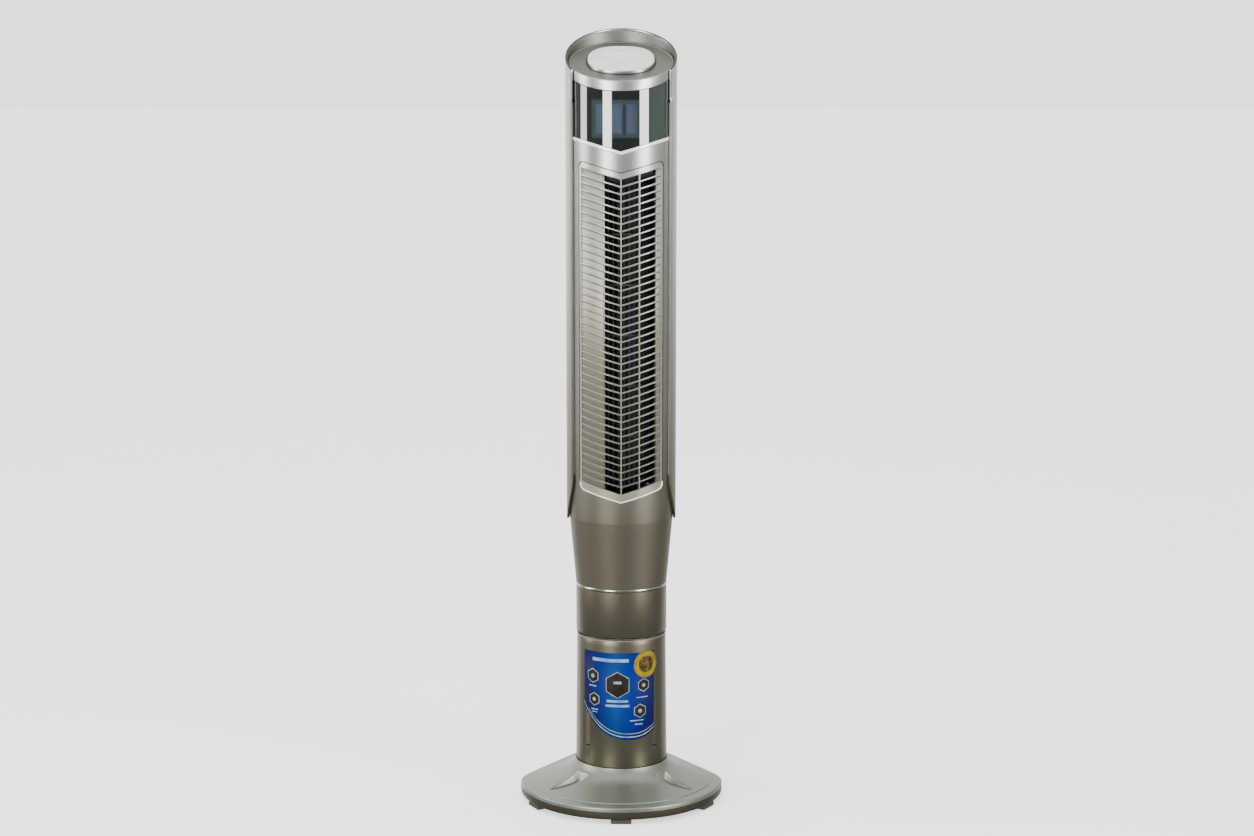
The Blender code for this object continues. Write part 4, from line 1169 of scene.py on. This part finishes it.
def make_rear_shell():
    """The wrap-around shell. Columns are shares: 0..1 runs from the front edge to the
    intake, 1..3 across the back, 3..4 to the other front edge. Levels 0..1 run from the
    swept tips to the intake, 1..2 beside it, 2.5..3 beside the handle, 3..4 to the rim."""
    intake_edge = 180 - INTAKE_HALF_TURN
    handle_share = 1 + (INTAKE_HALF_TURN - HANDLE_HALF_TURN) / INTAKE_HALF_TURN
    handle_high = HANDLE_HIGH.z + 0.0004
    marks = [(0, REAR_TIP_Z), (1, INTAKE_LOW.z - 0.0003), (2, INTAKE_HIGH.z + 0.0003),
             (2.5, HANDLE_LOW.z - 0.0004), (3, handle_high)]

    def turn_of(share, height):
        edge = rear_edge_turn(height)
        if share > 2:
            return 360 - turn_of(4 - share, height)
        if share <= 1:
            return edge + (intake_edge - edge) * share
        return intake_edge + INTAKE_HALF_TURN * (share - 1)

    def level_height(level):
        for (start, low), (end, high) in zip(marks, marks[1:]):
            if level <= end:
                return low + (high - low) * (level - start) / (end - start)

    def place(share, level):
        if level <= 3:
            height = level_height(level)
            return on_cylinder(REAR_R, turn_of(share, height), height)
        at_edge = share < TAB_SHARE or share > 4 - TAB_SHARE
        recess = TAB_RECESS if at_edge and level > TAB_LEVEL else 0.0
        return on_slant(REAR_R - recess, turn_of(share, 1.0),
                        lambda x, y: mix(handle_high, rear_rim(y), level - 3))

    def is_open(share, level):
        in_intake = 1 < level < 2 and 1 < share < 3
        in_handle = 2.5 < level < 3 and handle_share < share < 4 - handle_share
        return in_intake or in_handle

    columns = spaced([0, 0.06, 0.064, 1, handle_share, 2, 4 - handle_share, 3, 3.936, 3.94, 4],
                     [3, 1, 30, 6, 16, 16, 6, 30, 1, 3])
    levels = spaced([0, 1, 2, 2.5, 3, 3.17, 3.18, 4], [24, 30, 8, 6, 2, 1, 12])
    shell = sheet_piece("rear_shell_fine", columns, levels, place, SILVER,
                        nodes=("rear_shell",), is_open=is_open, wall=0.0025,
                        bevel=(0.0008, 3))
    freeze(shell)
    # Grey strips in the gaps along the rear shell's front edges: painted shade.
    make_rear_edges("edge_gap_shade", 0.5, steps(REAR_TIP_Z + 0.012, 1.06, 60),
                    [BODY_R + 0.0003, BODY_R + 0.0012, REAR_R - 0.002], EDGE_GAP_SHADE, 0.0008)
    # The swept edges are near black: painted shade on their shadow side.
    make_rear_edges("swept_edge", -0.35, steps(REAR_TIP_Z, 0.506, 24),
                    [BODY_R + 0.0006, REAR_R - 0.001, REAR_R + 0.0001], EDGE_SHADE, 0.001)
    make_rear_rim()
    for number in range(1, 5):
        middle, turn, _ = spot_of("rear_screw_%d" % number)
        hole = plug_mesh(0.0036, 0.03, (0, 0, 0), turn_to_y=True)
        cut(shell, stand_at(hole, on_cylinder(REAR_R, turn, middle.z), turn), "screw_recess")


def rear_rim(y):
    """Height of the rear shell's slanted rim."""
    return REAR_RIM_Z + REAR_RIM_SLOPE * y


def make_rear_edges(name, turn_offset, heights, radii, material, wall):
    """A strip that follows both front edges of the rear shell, a little in front or behind."""
    for side, ending in ((1, "_right"), (-1, "_left")):
        def edge_point(height, radius, side=side):
            return on_cylinder(radius, side * (rear_edge_turn(height) + turn_offset), height)

        sheet_piece(name + ending, heights, radii, edge_point, material, wall=wall, offset=0.0)


def make_rear_rim():
    edge = REAR_EDGE_TURN + 0.6
    turns = steps(edge, 360 - edge, 120)

    def inner_wall_point(turn, share):
        return on_slant(REAR_R - 0.0026, turn,
                        lambda x, y: mix(TOP_PANEL_Z + TOP_SLOPE * y - 0.003,
                                         rear_rim(y) - 0.0004, share))

    def rim_point(turn, radius):
        return on_slant(radius, turn, lambda x, y: rear_rim(y) + 0.001)

    # The rim's inner wall and band use darker copies of the silver paint: painted shade.
    sheet_piece("rear_rim_inner_wall", turns, steps(0, 1, 6), inner_wall_point, RIM_INSIDE_SHADE,
                wall=0.0006)
    sheet_piece("rear_rim_band", turns, [REAR_R - 0.0027, REAR_R - 0.0013, REAR_R + 0.0001],
                rim_point, RIM_SHADE_GREY, wall=0.0016, offset=1.0, bevel=(0.0005, 3))


def make_intake():
    """The air intake at the back: three bays of slim slats inside a frame."""
    radius = REAR_R - 0.0003
    low = INTAKE_LOW.z
    high = INTAKE_HIGH.z
    edge = 180 - INTAKE_HALF_TURN + 0.25
    third = (2 * INTAKE_HALF_TURN - 4) / 3
    turns = [edge]
    bars = []
    for bay in range(3):
        start = 180 - INTAKE_HALF_TURN + 1 + bay * (third + 1)
        bars.append((turns[-1], start))
        turns += steps(start, start + third, 10)
    turns.append(360 - edge)
    bars.append((turns[-2], turns[-1]))
    pitch = (high - low - 0.01) / INTAKE_SLOTS
    rows = [low]
    for slot in range(INTAKE_SLOTS):
        bottom = low + 0.006 + slot * pitch
        rows += [bottom, bottom + pitch * 0.68]
    rows.append(high)

    def is_open(turn, z):
        if any(a < turn < b for a, b in bars):
            return False
        return sum(1 for row in rows if row < z) % 2 == 0

    sheet_piece("intake_grille_fine", turns, rows,
                lambda turn, z: on_cylinder(radius, turn, z), SILVER,
                nodes=("intake_grille",), is_open=is_open, wall=0.0024, bevel=(0.0004, 2))
    sheet_piece("dust_screen", steps(edge, 360 - edge, 30), steps(low + 0.002, high - 0.002, 4),
                lambda turn, z: on_cylinder(radius - 0.0034, turn, z), BLACK_AND_SHADE,
                wall=0.0008)


# ---------------------------------------------------------------- top
def lay_on_top(mesh, height=0.0):
    mesh.transform(Matrix.Translation((0, 0, TOP_PANEL_Z))
                   @ Matrix.Rotation(TOP_TILT, 4, "X") @ Matrix.Translation((0, 0, height)))
    return mesh


def squircle_spot(angle, half_width, half_length, power):
    c = math.cos(angle)
    s = math.sin(angle)
    reach = (abs(c) ** power + abs(s) ** power) ** (-1 / power)
    return c * reach * half_width, s * reach * half_length


def lofted_mesh(name, profile, half_width, power, extra=0.0):
    """A flat-laid solid of squircle outline that shows round from above once it is tilted:
    profile of (inset, height) from the bottom outside, over the rim, to the top's middle."""
    corners = 96
    length = half_width / math.cos(TOP_TILT) + extra
    rings = [[(*squircle_spot(math.tau * i / corners, half_width + extra - inset,
                              length - inset, power), height) for i in range(corners)]
             for inset, height in profile]
    return solids_mesh(name, [rings])


BUTTONS = {
    "button_power": (0.0, 0.0, 0.0105),
    "button_speed": (0.0, 0.029, 0.008),
    "button_mode": (0.029, 0.0, 0.008),
    "button_timer": (0.0, -0.029, 0.008),
    "button_swing": (-0.029, 0.0, 0.008),
}
PAD_R = 0.049
PAD_H = 0.0048
PAD_POWER = 2.4                  # 2 would be an ellipse, more is squarer
PANEL_R = 0.0758


def make_top():
    def ring_point(turn, i):
        radius, z = ring_line[i]
        return on_slant(radius, turn, lambda x, y: TOP_PANEL_Z + z + TOP_SLOPE * y)

    outer = TOP_RING_R
    ring_line = [(outer - 0.002, -TOP_RING_H), (outer - 0.0004, -TOP_RING_H),
                 (outer, -TOP_RING_H + 0.0004), (outer, -0.0009), (outer - 0.0002, -0.0004),
                 (outer - 0.0005, -0.0002), (outer - 0.001, -0.0001),
                 (outer - 0.0015, -0.0006), (outer - 0.002, -0.0012),
                 (outer - 0.002, -TOP_RING_H)]
    sheet_piece("top_ring_fine", steps(0, 360, 160), list(range(10)), ring_point, SILVER,
                nodes=("top_ring",), smooth_angle=50)

    panel = lofted_mesh("top_panel_fine", [
        (0.0, -0.0025), (0.0, -0.0007), (0.0002, -0.0003), (0.0006, -0.0001),
        (0.0014, -0.0002), (0.008, -0.0006), (0.022, -0.0008), (0.0245, -0.001),
    ], PANEL_R, 2.0)
    place_piece("top_panel_fine", lay_on_top(panel), PANEL,
                nodes=("top_panel",))
    # A near-black ring round the pad's skirt: painted shadow under the pad.
    shadow_ring = lofted_mesh("pad_shadow_ring", [
        (0.0006, -0.003), (0.0, -0.001), (0.0006, -0.0004), (0.003, -0.0003),
    ], PAD_R, PAD_POWER, 0.003)
    place_piece("pad_shadow_ring", lay_on_top(shadow_ring), BLACK_AND_SHADE)
    skirt = lofted_mesh("pad_skirt", [
        (0.0004, -0.0026), (0.0, 0.0), (0.0002, 0.0012), (0.0008, PAD_H - 0.0016),
        (0.0012, PAD_H - 0.0012), (0.003, PAD_H - 0.0014),
    ], PAD_R, PAD_POWER, 0.0014)
    place_piece("pad_skirt", lay_on_top(skirt), SKIRT_METAL)

    flat = lofted_mesh("control_pad_fine", [
        (0.0, -0.0004), (0.0, PAD_H - 0.0016), (0.0002, PAD_H - 0.001),
        (0.0006, PAD_H - 0.0005), (0.0012, PAD_H - 0.0002), (0.002, PAD_H), (0.004, PAD_H),
        (0.02, PAD_H),
    ], PAD_R, PAD_POWER)
    pad = place_piece("control_pad_fine", flat, PAD, nodes=("control_pad",))
    for x, y, radius in BUTTONS.values():
        cut(pad, plug_mesh(radius + 0.0003, 0.02, (x, y, PAD_H), segments=48), "key_hole")
    lay_on_top(pad.data)

    for name, (x, y, radius) in BUTTONS.items():
        low = 0.002
        cap = [(0.0001, PAD_H + 0.00005), (radius * 0.6, PAD_H + 0.0001),
               (radius - 0.0012, PAD_H + 0.0002), (radius - 0.0004, PAD_H),
               (radius, PAD_H - 0.0006), (radius, low), (0.0001, low)]
        mesh = turned_mesh(name + "_fine", cap, 48)
        mesh.transform(Matrix.Translation((x, y, 0)))
        place_piece(name + "_fine", lay_on_top(mesh), PAD, name, (name,))


# ---------------------------------------------------------------- impeller
def make_impeller():
    centre_y = (IMPELLER_LOW.y + IMPELLER_HIGH.y) / 2
    radius = IMPELLER_HIGH.x
    low = IMPELLER_LOW.z
    high = IMPELLER_TOP
    solids = []
    for blade in range(IMPELLER_BLADES):
        lead = math.tau * blade / IMPELLER_BLADES
        outline = []
        for side, shares in ((1, steps(0, 1, 5)), (-1, steps(1, 0, 5))):
            for share in shares:
                r = radius - 0.0104 + 0.0098 * share
                turn = lead + 0.26 * share - 0.15 * share * share + 0.00055 / r * side
                outline.append((r * math.cos(turn), r * math.sin(turn) + centre_y))
        solids.append([[(x, y, z) for x, y in outline] for z in (low + 0.001, high - 0.001)])
    place_piece("impeller_blades", solids_mesh("impeller_blades", solids), IMPELLER_GREY,
                "impeller_rotor", ("impeller",))
    for number in range(7):
        middle = low + 0.0012 + (high - low - 0.0024) * number / 6
        inner = 0.0043 if number in (0, 6) else 0.032
        turned_piece("impeller_disc_%d" % number, [
            (inner, middle + 0.0011), (radius - 0.0003, middle + 0.0011),
            (radius, middle + 0.0008), (radius, middle - 0.0008),
            (radius - 0.0003, middle - 0.0011), (inner, middle - 0.0011),
        ], IMPELLER_GREY, "impeller_rotor", (), 72, centre_y)


# ---------------------------------------------------------------- studio
# Radiance of the studio round the fan: (turn, value), a turn of 0 being the camera's side.
SOFTBOX = 14.0
AROUND_HIGH = [(-180, 1.4), (-158, 2.0), (-140, 1.8), (-118, 0.45), (-99.6, 0.3), (-99.2, 8.0),
               (-81.6, 8.0), (-81.2, 0.2), (-40.3, 0.2), (-39.9, SOFTBOX), (-21.2, SOFTBOX),
               (-20.8, 0.15), (41.8, 0.15), (42.2, SOFTBOX), (62.3, SOFTBOX), (62.7, 0.4),
               (108, 0.4), (116, 0.2), (125, 0.35), (142, 1.1), (180, 1.3)]
AROUND_LOW = [(-180, 2.2), (-160, 3.0), (-145, 2.6), (-124, 0.45), (-110, 0.3),
              (-85, 0.38), (-50, 0.5), (-5, 0.5), (15, 0.5), (65, 0.48), (90, 0.42),
              (100, 0.3), (122, 0.3), (142, 1.4), (180, 2.2)]
OVERHEAD = [(0.5, 0.4), (0.72, 0.42), (0.86, 1.3), (1.0, 1.9)]
FRONT_FADE = 0.4                 # how much the front light weakens above the softboxes
BACKGROUND = 2.2
FLOOR_GLOW = 1.15
FLOOR_R = 60.0
LAMP_SPOT = (-0.5, -0.8, 3.2)
CAMERA_SPOT = (0.0087, -3.432, 1.1285)
CAMERA_PITCH_DOWN = 8.97
CAMERA_LENS = 66.0


class StudioLight(Nodes):
    """Nodes of a world whose light depends on the direction, like a studio's softboxes."""

    def __init__(self, tree):
        super().__init__(tree)
        parts = self.node("ShaderNodeSeparateXYZ")
        self.put(self.node("ShaderNodeTexCoord").outputs["Generated"], parts.inputs[0])
        self.x, self.y, self.z = parts.outputs

    def curve(self, factor, stops, low, high):
        """A value read from stops laid over low..high; values are kept under SOFTBOX."""
        share = self.math("DIVIDE", self.math("SUBTRACT", factor, low), high - low)
        greys = [((position - low) / (high - low), (*[value / SOFTBOX] * 3, 1))
                 for position, value in stops]
        return self.math("MULTIPLY", self.ramp(share, greys), SOFTBOX)

    def blend(self, first, second, value, low, high):
        """From first to second as a value goes from low to high (or down to it)."""
        share = self.math("DIVIDE", self.math("SUBTRACT", value, low), high - low, clamp=True)
        return self.math("ADD", self.math("MULTIPLY", first, self.math("SUBTRACT", 1.0, share)),
                         self.math("MULTIPLY", second, share))


def make_world():
    world = bpy.data.worlds.new("studio_world")
    world.use_nodes = True
    nodes = StudioLight(world.node_tree)
    turn = nodes.math("ARCTAN2", nodes.x, nodes.math("MULTIPLY", nodes.y, -1.0))
    turn = nodes.math("MULTIPLY", turn, math.degrees(1))
    high = nodes.curve(turn, AROUND_HIGH, -180, 180)
    low = nodes.curve(turn, AROUND_LOW, -180, 180)
    low = nodes.math("MULTIPLY", low, nodes.math("ADD", 1.0, nodes.z))
    over = nodes.curve(nodes.z, OVERHEAD, 0, 1)
    light = nodes.blend(low, high, nodes.z, -0.12, -0.05)
    light = nodes.blend(light, over, nodes.z, 0.55, 0.75)
    raised = nodes.blend(0.0, FRONT_FADE, nodes.z, 0.1, 0.4)
    forward = nodes.blend(0.0, 1.0, nodes.y, 0.0, -0.5)
    fade = nodes.math("SUBTRACT", 1.0, nodes.math("MULTIPLY", raised, forward))
    light = nodes.math("MULTIPLY", light, fade)
    seen = nodes.node("ShaderNodeLightPath").outputs["Is Camera Ray"]
    light = nodes.blend(light, BACKGROUND, seen, 0.0, 1.0)
    nodes.put(light, nodes.tree.nodes["Background"].inputs["Color"])
    bpy.context.scene.world = world


def make_studio():
    """A wide pale floor, softboxes round the fan in the world, one soft light overhead."""
    surface = Surface("studio_floor", 0.0, 0.9)
    surface.set("Base Color", surface.cloud(2.0, (0.87, 0.87, 0.87, 1), (0.89, 0.89, 0.89, 1)))
    surface.set("Emission Color", WHITE)
    surface.set("Emission Strength", FLOOR_GLOW)
    bm = bmesh.new()
    bmesh.ops.create_circle(bm, cap_ends=True, segments=96, radius=FLOOR_R)
    floor = bpy.data.objects.new("studio_floor", mesh_of(bm, "studio_floor"))
    floor.data.materials.append(surface.material)
    floor.visible_glossy = False
    bpy.context.scene.collection.objects.link(floor)
    make_world()

    light = bpy.data.lights.new("overhead_softbox", "AREA")
    light.shape = "DISK"
    light.size = 2.4
    light.energy = 60
    lamp = bpy.data.objects.new("overhead_softbox", light)
    lamp.location = LAMP_SPOT
    aim = Vector((0, 0, 0.5)) - lamp.location
    lamp.rotation_euler = aim.to_track_quat("-Z", "Y").to_euler()
    lamp.visible_glossy = False
    bpy.context.scene.collection.objects.link(lamp)


def make_camera():
    """Lens, height and pitch that give the view of a fan seen from its top's eye level."""
    data = bpy.data.cameras.new("camera")
    data.sensor_width = 36.0
    data.lens = CAMERA_LENS
    data.clip_end = 50.0
    camera = bpy.data.objects.new("camera", data)
    camera.location = CAMERA_SPOT
    camera.rotation_euler = (math.radians(90 - CAMERA_PITCH_DOWN), 0, 0)
    bpy.context.scene.collection.objects.link(camera)
    bpy.context.scene.camera = camera


make_camera()
make_studio()
finish_cad_nodes()
make_base()
make_column()
make_label()
make_front_shell()
make_insert()
make_window()
make_rear_shell()
make_intake()
make_top()
make_impeller()
